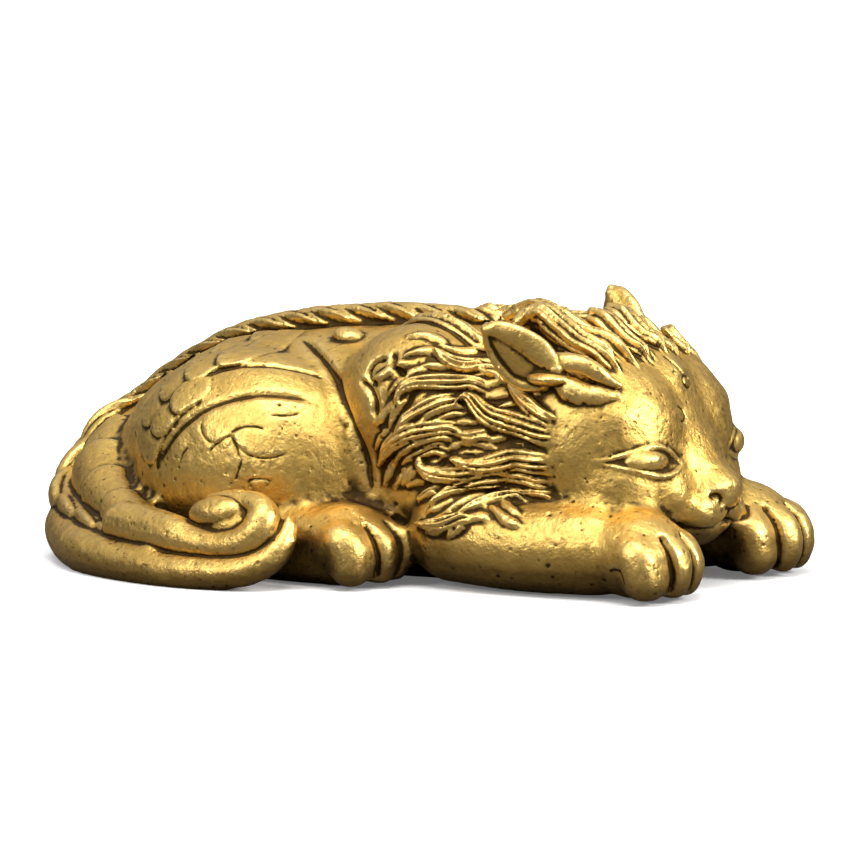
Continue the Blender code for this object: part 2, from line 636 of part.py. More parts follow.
def tail_details(clay):
    """The plates of the upper band, which rolls up over a bulb that is its own end."""
    line = spline(UPPER_BAND[:-1], 30)
    sweep(clay, line[:, :3], line[:, 3], line[:, 3], (0, 0, 1), around=64, relief=plates)
    stations = [(*coil_spot(across, up, out), radius, radius) for across, up, out, radius in COIL]
    limb(clay, stations, np.cross(COIL_ACROSS, COIL_UP))
    lean = -math.degrees(math.atan2(COIL_UP[1], COIL_UP[2]))
    ball(clay, coil_spot(1.0, 0.6, -1.7), (3.2, 2.8, 3.0))
    ball(clay, coil_spot(-3.4, 0.8, 0.4), (4.9, 2.6, 2.5), (lean, -6, 0))
    ball(clay, coil_spot(-1.5, 0, -1.4), (6.5, 3.4, 4.2), (lean, 0, 0))


def shoulder(clay, skin):
    for flank in BOTH:
        boss = skin.flank(flank, [(-8.6, 34.6)])[0]
        ball(clay, boss, (2.6, 1.8, 1.4), (0, 8, 0))


def details(points, faces):
    """Everything laid on the softened form, and the hair that is raised from it later."""
    skin = Skin(points, faces)
    clay, hair = Clay(), Hair()
    clay.add(points, faces)
    clay.faces = [list(dict.fromkeys(f)) for f in clay.faces]
    comb(hair, skin)
    mane(hair, skin)
    crown(clay, hair, skin)
    for flank, tip, base in EARS:
        ear(clay, flank, tip, base)
        temple(clay, flank, base)
    eyes(clay, skin)
    ridge(clay, hair)
    tail_details(clay)
    shoulder(clay, skin)
    return clay, hair


def carve(points, facing, path, width, depth, lip=0.0, fall=1.5):
    """Cuts a rounded crease along a path on the skin. lip raises the ground on the left of it, dying away."""
    path = path[np.append(True, np.linalg.norm(np.diff(path, axis=0), axis=1) > 0.01)]
    reach = width * 3 + (fall * 3 if lip else 0)
    near = np.flatnonzero(((points > path.min(0) - reach) & (points < path.max(0) + reach)).all(1))
    a, step = path[:-1], np.diff(path, axis=0)
    offset = points[near][:, None] - a[None]
    t = np.clip((offset * step).sum(-1) / (step * step).sum(-1), 0, 1)
    gap = offset - t[..., None] * step
    distance = np.linalg.norm(gap, axis=-1)
    best = distance.argmin(1)
    pick = np.arange(len(near))
    distance, gap, t = distance[pick, best], gap[pick, best], t[pick, best]
    along = (best + t) / len(step)
    taper = np.clip(np.minimum(along, 1 - along) * 8, 0, 1)
    cut = -depth * np.exp(-((distance / width) ** 2))
    if lip:
        left = (np.cross(step[best], gap) * facing[near]).sum(-1) > 0
        cut += np.where(left, lip * (1 - np.exp(-((distance / width) ** 2))) * np.exp(-distance / fall), 0)
    points[near] += facing[near] * (cut * taper)[:, None]


def creases(points, faces):
    """Cuts the mouth, nostrils, thigh and shoulder lines, and the clefts between the toes."""
    facing = normals_of(points, faces)
    skin = Skin(points, faces)

    def cut(path, width, depth):
        carve(points, facing, path, width, depth)

    cut(skin.front(spline([(-y, z) for y, z in MOUTH[:0:-1]] + list(MOUTH))), 0.5, 0.9)
    for flank in BOTH:
        cut(skin.front(spline([(flank * y, z) for y, z in NOSTRIL])), 0.4, 0.8)
        cut(skin.front(spline([(flank * y, z) for y, z in LIP])), 0.35, 0.3)
        for width, depth, start, heading, turn, length in FLANK_CREASES:
            cut(skin.flank(flank, wander(start, heading, turn, length)), width, depth)
        for x, y in (FRONT_PAW, HIND_PAW):
            for aside, back in CLEFTS:
                drop = ((4.4, 9.6), (6.0, 7.6), (7.0, 4.4), (6.6, 1.0))
                path = [(x + ahead - back, flank * y + aside, z) for ahead, z in drop]
                cut(skin.snap(spline(path))[0], 0.5, 0.9)


def scales(points, faces):
    """Raises overlapping scales in arcs over each haunch, proudest at their rounded tips."""
    facing = normals_of(points, faces)
    x, z = points[:, 0] + 14, points[:, 2] - 12.8
    rump = (np.hypot(x / 17.0, z / 15.4) > 1.0) & (points[:, 0] > -47) & (points[:, 0] < -9)
    foot = 12 + 0.5 * np.maximum(-30 - points[:, 0], 0)
    rump = rump * np.clip((points[:, 2] - foot) / 6, 0, 1)
    rump = rump * np.clip((np.abs(points[:, 1]) - 3.4) / 0.8, 0, 1)
    raised = np.zeros(len(points))
    for wide, tall, length, across, angles in (
        (19.0, 17.4, 7.4, 4.8, range(128, 208, 15)),
        (22.6, 21.0, 7.0, 4.6, range(108, 200, 13)),
        (26.4, 24.6, 6.4, 4.2, range(92, 190, 11)),
    ):
        for degrees in angles:
            a = math.radians(degrees)
            tip = unit(np.array([-wide * math.sin(a), tall * math.cos(a)]))
            offset = np.stack([x - wide * math.cos(a), z - tall * math.sin(a)], 1)
            along = offset @ tip / (length / 2)
            aside = offset @ np.array([-tip[1], tip[0]]) / (across / 2)
            rim = (np.abs(along) ** 2.4 + np.abs(aside) ** 2.4) ** (1 / 2.4)
            crown = 1 - 0.25 * aside**2
            slope = 0.15 + 0.85 * np.clip((along + 1) / 2, 0, 1)
            shape = np.clip((1 - rim) * across, 0, 0.45) / 0.45 * slope * crown
            raised = np.maximum(raised, shape)
    points += facing * (rump * raised * 0.85)[:, None]


def to_mesh(points, faces):
    """Rubs the underside flat at z = 0 and makes a mesh."""
    points[:, 2] = np.maximum(points[:, 2], 0)
    mesh = bpy.data.meshes.new("qilin")
    mesh.from_pydata(points, [], faces)
    return mesh


def thin(mesh, triangles):
    """Thins the skin to the wanted number of triangles and turns millimetres into metres."""
    obj = bpy.data.objects.new("wax", mesh)
    bpy.context.scene.collection.objects.link(obj)
    modifier = obj.modifiers.new("Thin", "DECIMATE")
    modifier.ratio = triangles / (2 * len(mesh.polygons))
    modifier.use_collapse_triangulate = True
    graph = bpy.context.evaluated_depsgraph_get()
    thinned = bpy.data.meshes.new_from_object(obj.evaluated_get(graph))
    bpy.data.objects.remove(obj)
    for vertex in thinned.vertices:
        if vertex.co.z < 0.05:
            vertex.co.z = 0
    thinned.transform(Matrix.Scale(MM, 4))
    return thinned


def brass():
    material = bpy.data.materials.new("brass")
    material.use_nodes = True
    shader = material.node_tree.nodes["Principled BSDF"]
    shader.inputs["Base Color"].default_value = (0.62, 0.42, 0.16, 1)
    shader.inputs["Metallic"].default_value = 1.0
    shader.inputs["Roughness"].default_value = 0.35
    return material


def main():
    for old in list(bpy.data.objects):
        bpy.data.objects.remove(old)
    points, faces = fuse(form(), "form", FORM_VOXEL, FORM_SOFTENING, finer=1)
    clay, hair = details(points, faces)
    points, faces = fuse(clay, "details", DETAIL_VOXEL, DETAIL_SOFTENING)
    hair.raise_from(points, faces)
    scales(points, faces)
    creases(points, faces)
    mesh = thin(to_mesh(points, faces), TRIANGLES)
    mesh.materials.append(brass())
    qilin = bpy.data.objects.new("qilin", mesh)
    bpy.context.scene.collection.objects.link(qilin)


main()
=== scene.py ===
# %% [markdown]
# # A sleeping qilin in old brass
# The object is a paperweight: one brass casting of a sleeping qilin, about eleven centimetres long. It
# lies on a flat underside with its chin on its forepaws and its tail curled round one flank. Nothing on it
# moves. The whole look comes from two things: the relief of the casting, and how the metal has aged. Brass
# that is handled stays bright on the high places, while the creases and the pits keep a brown patina. So
# this lesson first shapes the beast the way a wax for casting is shaped, then measures where it is hollow
# and where it stands proud, and lets the finish follow those measures.

# %% Load the fixed model
import math

import bmesh
import bpy
import numpy as np
from mathutils import Euler, Matrix, Vector
from mathutils.bvhtree import BVHTree
from mathutils.kdtree import KDTree


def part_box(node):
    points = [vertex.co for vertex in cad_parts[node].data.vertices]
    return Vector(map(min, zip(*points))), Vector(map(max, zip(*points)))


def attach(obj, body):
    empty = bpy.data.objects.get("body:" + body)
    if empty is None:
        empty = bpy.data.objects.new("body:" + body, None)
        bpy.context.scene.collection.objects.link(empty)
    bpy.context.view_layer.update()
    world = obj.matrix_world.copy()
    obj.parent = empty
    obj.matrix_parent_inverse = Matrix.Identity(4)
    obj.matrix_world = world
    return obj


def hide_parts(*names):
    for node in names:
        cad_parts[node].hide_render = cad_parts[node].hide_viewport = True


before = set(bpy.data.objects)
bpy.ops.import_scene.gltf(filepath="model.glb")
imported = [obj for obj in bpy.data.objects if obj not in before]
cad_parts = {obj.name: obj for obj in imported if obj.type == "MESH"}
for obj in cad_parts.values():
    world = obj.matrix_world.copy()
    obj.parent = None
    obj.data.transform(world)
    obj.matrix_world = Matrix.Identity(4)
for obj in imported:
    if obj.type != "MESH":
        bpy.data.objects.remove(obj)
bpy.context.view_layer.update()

low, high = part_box("qilin")
print("the solid measures", [round((b - a) * 1000, 1) for a, b in zip(low, high)], "mm")

# %% [markdown]
# ## Sizes
# The wax is worked in millimetres, because its smallest marks are tenths of one. A voxel is the grain of
# the wax: the body is pressed at a coarse grain, which also rounds the joins between lumps, and the
# details at a fine one. One grain for both would be either slow or blunt.

# %% Sizes of the wax
MM = 0.001
RIGHT, LEFT = -1, 1
BOTH = (RIGHT, LEFT)
FORM_VOXEL, DETAIL_VOXEL = 0.9, 0.2
print("one grain of the wax is", FORM_VOXEL, "mm in the form and", DETAIL_VOXEL, "mm in the details")

# %% [markdown]
# ## Lines to work along
# Every lump, lock and cut follows a line. Blender's curve objects could hold them, but a lock has to lie on
# the skin, so plain lists of points are easier to move. `spline` runs smoothly through a few stations, and
# `wander` draws a line the way a hand does: it sets off one way, turns, sways and hooks at the end.

# %% Lines
# How far apart the waves of a swaying lock are.
WAVE = 12.0


def unit(vectors):
    return vectors / np.linalg.norm(vectors, axis=-1, keepdims=True)


def spline(rows, steps=6):
    """A smooth curve through the rows (Catmull-Rom), which may carry sizes beside their positions."""
    rows = np.asarray(rows, float)
    padded = np.vstack([2 * rows[0] - rows[1], rows, 2 * rows[-1] - rows[-2]])
    t = (np.arange(steps) / steps)[:, None]
    spans = [
        0.5 * (2 * b + (c - a) * t + (2 * a - 5 * b + 4 * c - d) * t**2 + (3 * b - a - 3 * c + d) * t**3)
        for a, b, c, d in zip(padded, padded[1:], padded[2:], padded[3:])
    ]
    return np.vstack(spans + [rows[-1:]])


def wander(start, heading, turn, length, sway=0, hook=0, steps=24):
    """A line in a plane. It sets off along heading, turns steadily, sways every WAVE and hooks at the end."""
    t = (np.arange(steps) + 0.5) / steps
    angle = np.radians(heading + turn * t + sway * np.sin(math.tau * t * length / WAVE) + hook * t**6)
    strides = np.stack([np.cos(angle), np.sin(angle)], 1) * length / steps
    return np.vstack([[start], np.asarray(start) + np.cumsum(strides, axis=0)])


print("a spline through three stations has", len(spline([(0, 0), (1, 0), (1, 1)])), "points")

# %% [markdown]
# ## Lumps of wax
# A sculptor rolls sausages and presses balls on. `Clay` gathers such lumps, `ball` makes an egg, `sweep`
# rolls a bar of any section along a line, and `limb` does so through stations with rounded ends. Sculpt
# mode could do the same by hand, but lumps with named sizes can be changed later.

# %% Lumps
class Clay:
    """Closed lumps gathered as one list of points and triangles."""

    def __init__(self):
        self.points, self.faces, self.count = [], [], 0

    def add(self, points, faces):
        self.points.append(np.asarray(points, float))
        self.faces.extend((np.asarray(faces) + self.count).tolist())
        self.count += len(points)

    def to_object(self, name):
        mesh = bpy.data.meshes.new(name)
        mesh.from_pydata(np.vstack(self.points).tolist(), [], self.faces)
        obj = bpy.data.objects.new(name, mesh)
        bpy.context.scene.collection.objects.link(obj)
        return obj


def ball(clay, centre, radii, turn=(0, 0, 0)):
    """An ellipsoid, turned by degrees about X, Y and Z."""
    shape = bmesh.new()
    bmesh.ops.create_icosphere(shape, subdivisions=4, radius=1)
    points = np.array([v.co for v in shape.verts])
    faces = [[v.index for v in f.verts] for f in shape.faces]
    shape.free()
    spin = np.array(Euler([math.radians(a) for a in turn]).to_matrix())
    clay.add((points * radii) @ spin.T + centre, faces)


def sweep(clay, path, wide, high, up, around=16, relief=None):
    """A closed bar along path. wide and high are its half sizes at each point, and up is where its top faces.
    relief(run, angle) scales the section. run is the length along the path, and angle is 0 at its right."""
    path, up = np.asarray(path, float), np.broadcast_to(up, np.shape(path))
    ahead = unit(np.gradient(path, axis=0))
    side = unit(np.cross(ahead, up))
    top = np.cross(side, ahead)
    angle = np.arange(around) * math.tau / around
    scale = 1.0
    if relief:
        run = np.concatenate([[0], np.cumsum(np.linalg.norm(np.diff(path, axis=0), axis=1))])
        scale = relief(run[:, None], angle[None])
    across = (np.outer(wide, np.cos(angle)) * scale)[..., None] * side[:, None]
    above = (np.outer(high, np.sin(angle)) * scale)[..., None] * top[:, None]
    rings = (path[:, None] + across + above).reshape(-1, 3)
    count, rim = len(path), np.arange(around)
    turn = np.roll(rim, -1)
    start, end = count * around, count * around + 1
    walls = [
        np.stack([rim + k * around, turn + k * around, turn + (k + 1) * around, rim + (k + 1) * around], 1)
        for k in range(count - 1)
    ]
    clay.add(np.vstack([rings, path[:1], path[-1:]]), np.vstack(walls))
    base, last = clay.count - count * around - 2, (count - 1) * around
    for a, b in zip(rim.tolist(), turn.tolist()):
        clay.faces.append([base + start, base + b, base + a])
        clay.faces.append([base + end, base + last + a, base + last + b])


def limb(clay, stations, up=(0, 0, 1)):
    """A rounded bar through stations of x, y, z, half width and half height, closed by a ball at each end."""
    line = spline(stations)
    sweep(clay, line[:, :3], line[:, 3], line[:, 4], up)
    for x, y, z, wide, high in (line[0], line[-1]):
        ball(clay, (x, y, z), (wide, wide, high))


# %% [markdown]
# ## Pressing the lumps into one skin
# The lumps have to become one skin. Booleans could join them, but they leave hard seams, and wax has none.
# So `fuse` uses a voxel remesh, which builds one new skin round everything, and then softens it. `Skin`
# finds places on that surface afterwards, so that details can be laid where they belong.

# %% One skin
def arrays(mesh):
    """The points and the four-cornered faces of a mesh."""
    points, faces = np.empty(len(mesh.vertices) * 3), np.empty(len(mesh.polygons) * 4, int)
    mesh.vertices.foreach_get("co", points)
    mesh.polygons.foreach_get("vertices", faces)
    return points.reshape(-1, 3), faces.reshape(-1, 4)


def outer_skin(points, faces):
    """Drops every piece but the biggest, such as a bubble left inside between lumps."""
    label = np.arange(len(points))
    one, two = faces.ravel(), np.roll(faces, -1, axis=1).ravel()
    while True:
        low = np.minimum(label[one], label[two])
        following = label.copy()
        np.minimum.at(following, one, low)
        np.minimum.at(following, two, low)
        following = following[following]
        if (following == label).all():
            break
        label = following
    biggest = np.bincount(label).argmax()
    keep = label == biggest
    number = np.cumsum(keep) - 1
    return points[keep], number[faces[keep[faces[:, 0]]]]


def fuse(clay, name, voxel, softening, finer=0):
    """Presses the lumps into one skin with a voxel remesh, softens it and keeps only its outer skin.
    finer rounds of subdivision then take away the flat facets of a coarse remesh."""
    obj = clay.to_object(name)
    remesh = obj.modifiers.new("Press", "REMESH")
    remesh.mode = "VOXEL"
    remesh.voxel_size = voxel
    smooth = obj.modifiers.new("Soften", "SMOOTH")
    smooth.iterations = softening
    if finer:
        obj.modifiers.new("Round", "SUBSURF").levels = finer
    graph = bpy.context.evaluated_depsgraph_get()
    fused = bpy.data.meshes.new_from_object(obj.evaluated_get(graph))
    bpy.data.objects.remove(obj)
    points, faces = arrays(fused)
    return outer_skin(points, faces)


def normals_of(points, faces):
    across = points[faces[:, 2]] - points[faces[:, 0]]
    along = points[faces[:, 3]] - points[faces[:, 1]]
    facing = np.cross(across, along)
    total = np.zeros_like(points)
    for corner in range(4):
        for axis in range(3):
            total[:, axis] += np.bincount(faces[:, corner], facing[:, axis], len(points))
    return unit(total)


class Skin:
    """A surface to lay things on."""

    def __init__(self, points, faces):
        self.tree = BVHTree.FromPolygons(points.tolist(), [list(dict.fromkeys(f)) for f in faces.tolist()])

    def snap(self, path):
        """The nearest places on the skin to each point, and which way the skin faces there."""
        hits = [self.tree.find_nearest(Vector(p))[:2] for p in path]
        places, facing = np.array([h[0] for h in hits]), np.array([h[1] for h in hits])
        for _ in range(3):
            padded = np.vstack([facing[:1], facing, facing[-1:]])
            facing = unit(padded[:-2] + padded[1:-1] * 2 + padded[2:])
        return places, facing

    def cast(self, origins, direction):
        hits = [self.tree.ray_cast(Vector(o), Vector(direction)) for o in origins]
        return np.array([h[0] if h[0] else o for h, o in zip(hits, origins)])

    def flank(self, side, pairs):
        """Points on a flank, from pairs of x and z."""
        return self.cast([(x, side * 90, z) for x, z in pairs], (0, -side, 0))

    def top(self, pairs):
        """Points on the back or the crown, from pairs of x and y."""
        return self.cast([(x, y, 90) for x, y in pairs], (0, 0, -1))

    def front(self, pairs):
        """Points on the face, from pairs of y and z."""
        return self.cast([(90, y, z) for y, z in pairs], (-1, 0, 0))


# %% [markdown]
# ## The torso
# The trunk is widest at the haunches and highest in the middle of the back. It is one bar along the spine
# through sections from rump to chest. A subdivided cube could be pushed into the same shape, but sections
# keep each width and height in plain sight.

# %% Torso
# Torso sections from rump to chest: x, height of the middle, half width, half height.
TORSO = [
    (-49.0, 10.0, 6.0, 7.0),
    (-45.0, 11.0, 14.0, 12.0),
    (-38.0, 13.0, 20.0, 16.0),
    (-28.0, 14.5, 23.0, 19.0),
    (-15.0, 15.5, 23.0, 20.0),
    (-2.0, 16.0, 20.5, 20.5),
    (10.0, 16.5, 20.0, 20.5),
    (20.0, 16.5, 19.0, 20.0),
    (28.0, 15.0, 14.0, 16.0),
]


def torso(clay):
    line = spline([(x, 0, z, wide, high) for x, z, wide, high in TORSO])
    sweep(clay, line[:, :3], line[:, 3], line[:, 4], (0, 0, 1), around=32)


print("the torso follows", len(TORSO), "sections")

# %% [markdown]
# ## Haunches, legs and paws
# The hind legs are folded under round haunches, and the forelegs lie flat ahead. Both flanks are made by
# the same functions, with the side given as -1 or 1. A mirror modifier would be quicker, but the left
# forepaw is a little larger than the right one, and a mirror can't do that.

# %% Haunches, legs and paws
# Toes of a paw: how far to the side, how far back, half width.
TOES = ((-5.4, 2.4, 3.2), (-1.0, 0.2, 2.6), (2.7, 0.0, 2.5), (5.7, 1.6, 2.3))

# Where the paws are, as x and distance from the middle, and how much larger the left forepaw is.
FRONT_PAW, HIND_PAW = (45.4, 16.4), (1.8, 24.0)
FAR_PAW = 1.08


def haunch(clay, flank):
    ball(clay, (-19.5, flank * 15.5, 15.5), (20.5, 13.5, 17.0), (0, 8, 0))
    limb(clay, [(-16, flank * 22, 5, 6, 6), (-6, flank * 24, 5.5, 6, 6), (0, flank * 24, 5.6, 6.6, 6.0)])
    ball(clay, (0.5, flank * 24, 6.0), (7.6, 6.8, 6.0))


def foreleg(clay, flank):
    ball(clay, (6, flank * 11.5, 25), (13, 10.5, 12.5))
    stations = ((15, 17.5, 7.5, 6.5, 7.0), (26, 18.2, 6.6, 6.6, 6.6), (38, 17.2, 6.6, 6.2, 6.6))
    limb(clay, [(x, flank * y, z, wide, high) for x, y, z, wide, high in stations])
    size = FAR_PAW if flank == LEFT else 1
    ball(clay, (42.4 + 2.0 * size, flank * 16.4, 6.4 * size), (7.6 * size, 7.2 * size, 6.4 * size))


def toes(clay, x, y, size=1.0):
    """Four toes curled down over the front of a paw whose middle is at x, y. The widest is set back."""
    for aside, back, wide in TOES:
        rows = ((1.6, 6.0, 2.4, 2.4), (3.4, 6.9, wide, 3.2), (4.9, 5.7, wide, 3.1), (5.1, 3.2, wide, 2.9))
        stations = []
        for ahead, z, half, high in rows:
            stations.append((x + (ahead - back) * size, y + aside * size, z * size, half * size, high * size))
        limb(clay, stations, (1, 0, 1))


print("each paw has", len(TOES), "toes")

# %% [markdown]
# ## The head
# The head is a broad, catlike one that rests on its chin. Skull, cheeks, brows, muzzle and chin are each a
# ball, because a voxel remesh blends balls into soft flesh. The real head isn't quite even, so its left side
# stands a touch further out.

# %% Head
# How far the left side of the head stands out beyond the right one.
EYE_OUT = 1.2


def head(clay):
    ball(clay, (29.4, 0, 20.8), (16.8, 16.0, 15.6))
    ball(clay, (24.0, 0, 30.0), (12.0, 12.5, 8.2))
    for flank in BOTH:
        out = EYE_OUT if flank == LEFT else 0
        ball(clay, (30.4 + out * 0.5, flank * (6.4 + out), 20.6), (15.6, 12.6, 15.2))
        ball(clay, (37.0, flank * (9.0 + out), 15.0), (9.6, 9.0, 8.5))
        ball(clay, (42.4, flank * 6.8, 14.2), (5.8, 5.6, 5.6))
        ball(clay, (46.6, flank * 3.4, 11.4), (4.6, 4.8, 3.6))
        brow = (39.2 + out * 0.8, flank * (11.6 + out), 24.2 + out * 0.5)
        ball(clay, brow, (4.0, 5.4, 4.4), (0, 0, flank * 30))
    ball(clay, (36.0, 0, 12.0), (13.0, 12.6, 8.5))
    ball(clay, (43.4, 0, 12.0), (7.0, 9.6, 5.8))
    ball(clay, (45.0, 0, 9.6), (4.6, 5.4, 3.9))
    limb(clay, [(35.8, 0, 27.0, 8.4, 8.4), (42.3, 0, 20.0, 8.2, 5.6), (47.6, 0, 14.4, 4.9, 3.6)], (1, 0, 0))


# %% [markdown]
# ## The tail, and the whole form
# The tail lies on the ground round the right flank, in two bands with a core and a web between them that
# close the gap to the body. Then all the lumps are pressed and softened together. The coarse grain leaves
# flat facets, so one round of subdivision smooths them.

# %% Tail and form
FORM_SOFTENING = 6

# The two bands, the core and the web of the tail: x, y, z, radius.
UPPER_BAND = [
    (-38.0, 3.0, 19.5, 6.0),
    (-46.0, 0.0, 17.5, 5.8),
    (-49.0, -5.8, 14.5, 6.2),
    (-48.1, -11.8, 12.2, 6.1),
    (-45.1, -17.4, 10.4, 5.3),
    (-40.8, -22.2, 9.2, 4.2),
    (-35.5, -27.0, 7.9, 3.6),
    (-29.0, -31.6, 6.9, 3.4),
    (-22.5, -35.2, 6.6, 3.1),
]
LOWER_BAND = [
    (-42.0, 0.0, 12.0, 6.0),
    (-49.5, -4.0, 10.0, 5.6),
    (-52.6, -11.0, 7.0, 4.8),
    (-51.8, -18.0, 4.8, 4.3),
    (-46.4, -25.4, 3.4, 3.8),
    (-38.6, -32.0, 2.7, 3.5),
    (-28.0, -36.6, 2.3, 3.0),
    (-18.0, -38.4, 2.1, 2.7),
    (-10.0, -37.8, 2.6, 2.5),
    (-5.6, -36.0, 4.3, 2.4),
    (-3.6, -33.8, 7.6, 1.9),
    (-4.0, -32.0, 11.0, 1.0),
]
TAIL_CORE = [
    (-49.0, -14.0, 6.5, 4.5),
    (-46.5, -21.0, 5.0, 4.0),
    (-41.5, -26.0, 3.6, 3.4),
    (-34.0, -30.5, 2.8, 3.0),
    (-22.0, -34.5, 2.4, 2.6),
]
TAIL_WEB = [
    (-44.5, -3.0, 18.5, 4.4),
    (-45.0, -8.0, 14.5, 4.4),
    (-43.5, -12.5, 10.5, 4.2),
    (-39.5, -17.5, 7.5, 3.8),
    (-34.0, -22.0, 5.0, 3.2),
]


def form():
    """The beast without its surface: body, legs, head and tail."""
    clay = Clay()
    torso(clay)
    ball(clay, (18, 0, 19.0), (17.0, 20.0, 18.0))
    head(clay)
    for flank in BOTH:
        haunch(clay, flank)
        foreleg(clay, flank)
        size = FAR_PAW if flank == LEFT else 1
        toes(clay, FRONT_PAW[0] * (1 + (size - 1) / 3), flank * FRONT_PAW[1], size)
        toes(clay, HIND_PAW[0], flank * HIND_PAW[1])
    for band in (UPPER_BAND, LOWER_BAND, TAIL_CORE, TAIL_WEB):
        line = spline(band)
        sweep(clay, line[:, :3], line[:, 3], line[:, 3], (0, 0, 1))
    return clay


points, faces = fuse(form(), "form", FORM_VOXEL, FORM_SOFTENING, finer=1)
body_points, body_faces = points.copy(), faces.copy()
print("the softened form has", len(points), "points")

# %% [markdown]
# ## Hair
# The mane and the crown are thick locks, combed into strands. Hair particles wouldn't do: cast hair is a
# relief that grows out of the body. So each lock is a line on the skin, and the skin under it is raised
# into a dome with grooves along it. Where two locks cross, the higher one hides the other, as in a real
# mane.

# %% Locks
class Hair:
    """Combed locks, gathered as lines on the skin and raised from it all together."""

    POINTED = (0.75, 0.95, 1.0, 0.72, 0.2)
    BLUNT = (0.6, 0.75, 0.95, 1.0, 0.75)

    def __init__(self):
        self.locks = []

    def add(self, path, up, half, strands, tall, bed=0.0, groove=0.65, widths=POINTED):
        """Takes one lock. bed and tall are the heights of its ground and its dome, half is its half width."""
        up = np.broadcast_to(up, np.shape(path))
        self.locks.append((path, up, half, strands, tall, bed, groove, widths))

    def raise_from(self, points, faces):
        """Lifts the skin under every lock by its bed and a dome of strands. Of two locks the higher shows."""
        facing, height = normals_of(points, faces), np.zeros(len(points))
        order = np.argsort(points[:, 0])
        along_x = points[order, 0]
        for path, up, half, strands, tall, bed, groove, widths in self.locks:
            # The points near this lock, and the place on its line that each is closest to.
            low, high = path.min(0) - half - 1, path.max(0) + half + 1
            near = order[np.searchsorted(along_x, low[0]) : np.searchsorted(along_x, high[0])]
            near = near[((points[near] > low) & (points[near] < high)).all(1)]
            start, step = path[:-1], np.diff(path, axis=0)
            offset = points[near][:, None] - start
            t = np.clip((offset * step).sum(-1) / (step * step).sum(-1), 0, 1)
            gap = offset - t[..., None] * step
            best = (gap**2).sum(-1).argmin(1)
            pick = np.arange(len(near))
            gap, t = gap[pick, best], t[pick, best]
            along = (best + t) / len(step)
            # How high over the line each point is, how far aside, and on which side.
            over = unit(up[best] * (1 - t)[:, None] + up[best + 1] * t[:, None])
            depth = (gap * over).sum(-1)
            aside = np.sqrt(np.maximum((gap**2).sum(-1) - depth**2, 0))
            left = np.sign((gap * np.cross(step[best], over)).sum(-1))
            rim = aside / (half * np.interp(along, [0, 0.12, 0.5, 0.8, 1], widths))
            # Which strand it falls in, and how near the strand's crest. The roots start unevenly.
            cell = (left * np.minimum(rim, 1) + 1) / 2 * strands + 0.2 * np.sin(along * 8 + strands)
            strand = np.floor(cell)
            ridge = np.sin(math.pi * (cell - strand)) ** 1.1
            root = np.clip((along - 0.09 * np.abs(np.sin(strand * 2.1 + half * 9))) / 0.2, 0, 1)
            level = 1 - groove * (1 - ridge) - 0.12 * (1 + np.sin(strand * 2.4 + half * 7))
            started = np.clip(ridge - 1 + root * 1.6, 0, 1)
            # The height of the lock there, firm to its edge and seen only where the skin faces its way.
            dome = half * tall * np.clip(1 - rim**2, 0, 1) ** 0.6 * level * started
            firm = np.clip((1 - rim) / 0.25, 0, 1) * np.clip(along / 0.2, 0, 1)
            seen = np.clip((half * 0.6 + 1.0 - np.abs(depth)) / 0.4, 0, 1)
            seen *= np.clip(((facing[near] * over).sum(-1) - 0.15) / 0.25, 0, 1)
            height[near] = np.maximum(height[near], (bed * firm + dome) * seen)
        points += facing * evened(height, faces)[:, None]


def evened(values, faces):
    """Each value drawn halfway to the mean of its neighbours."""
    total = np.zeros(len(values))
    for turn in (1, 3):
        total += np.bincount(faces.ravel(), values[np.roll(faces, turn, axis=1)].ravel(), len(values))
    return values / 2 + total / 4 / np.maximum(np.bincount(faces.ravel(), minlength=len(values)), 1)


print("a lock tapers from", max(Hair.POINTED), "of its full width to", Hair.POINTED[-1])

# %% [markdown]
# ## The mane
# The mane flows back over the neck and shoulder in long locks with swaying lines and curled tips. Each lock
# is one row of numbers: where its root is, how it sets off and turns, and how wide it is. Both flanks
# carry the same locks, each laid a little higher than the one before.

# %% Mane
# Locks of the mane on each flank: root x and z, heading and turn in degrees, length, sway, hook, half width.
# A heading of 180 runs straight back. Less of it rises and more of it falls.
MANE = [
    (32.5, 23.0, 196, -85, 18.0, -18, 125, 1.9),
    (32.0, 18.6, 186, -8, 16.0, -17, 0, 1.9),
    (23.5, 17.0, 180, 16, 14.2, 0, -120, 1.6),
    (24.5, 16.0, 176, 50, 11.4, 0, 0, 1.5),
    (18.8, 32.0, 200, -75, 7.8, 0, 30, 1.3),
    (21.5, 28.4, 168, 10, 15.6, 0, 130, 1.4),
    (18.6, 21.4, 146, 100, 17.0, 0, 0, 1.6),
    (32.0, 24.6, 168, -28, 10.2, -10, 0, 1.3),
    (22.5, 29.6, 140, 50, 6.0, 0, 0, 1.1),
    (17.8, 26.9, 170, 66, 11.5, 0, 0, 1.4),
    (21.8, 11.4, 204, -24, 9.8, 0, 0, 1.3),
    (28.5, 13.4, 166, 56, 10.0, 0, 0, 1.3),
    (17.0, 20.6, 148, 92, 11.5, 0, 0, 1.2),
    (18.8, 25.4, 172, 62, 12.0, 0, 0, 1.1),
    (22.2, 22.9, 205, -40, 5.5, 0, 0, 1.0),
    (31.5, 15.8, 180, -14, 10.5, -6, 0, 1.0),
    (16.6, 19.0, 150, 78, 9.5, 0, 0, 1.0),
    (31.8, 14.3, 182, -12, 7.2, 0, 0, 0.9),
    (14.2, 14.0, 185, 40, 4.0, 0, 0, 1.0),
    (11.4, 17.8, 205, 35, 5.0, 0, 0, 0.9),
    (20.6, 10.2, 210, 15, 3.6, 0, 0, 0.9),
    (9.5, 28.0, 230, 20, 5.5, 0, 0, 0.9),
]


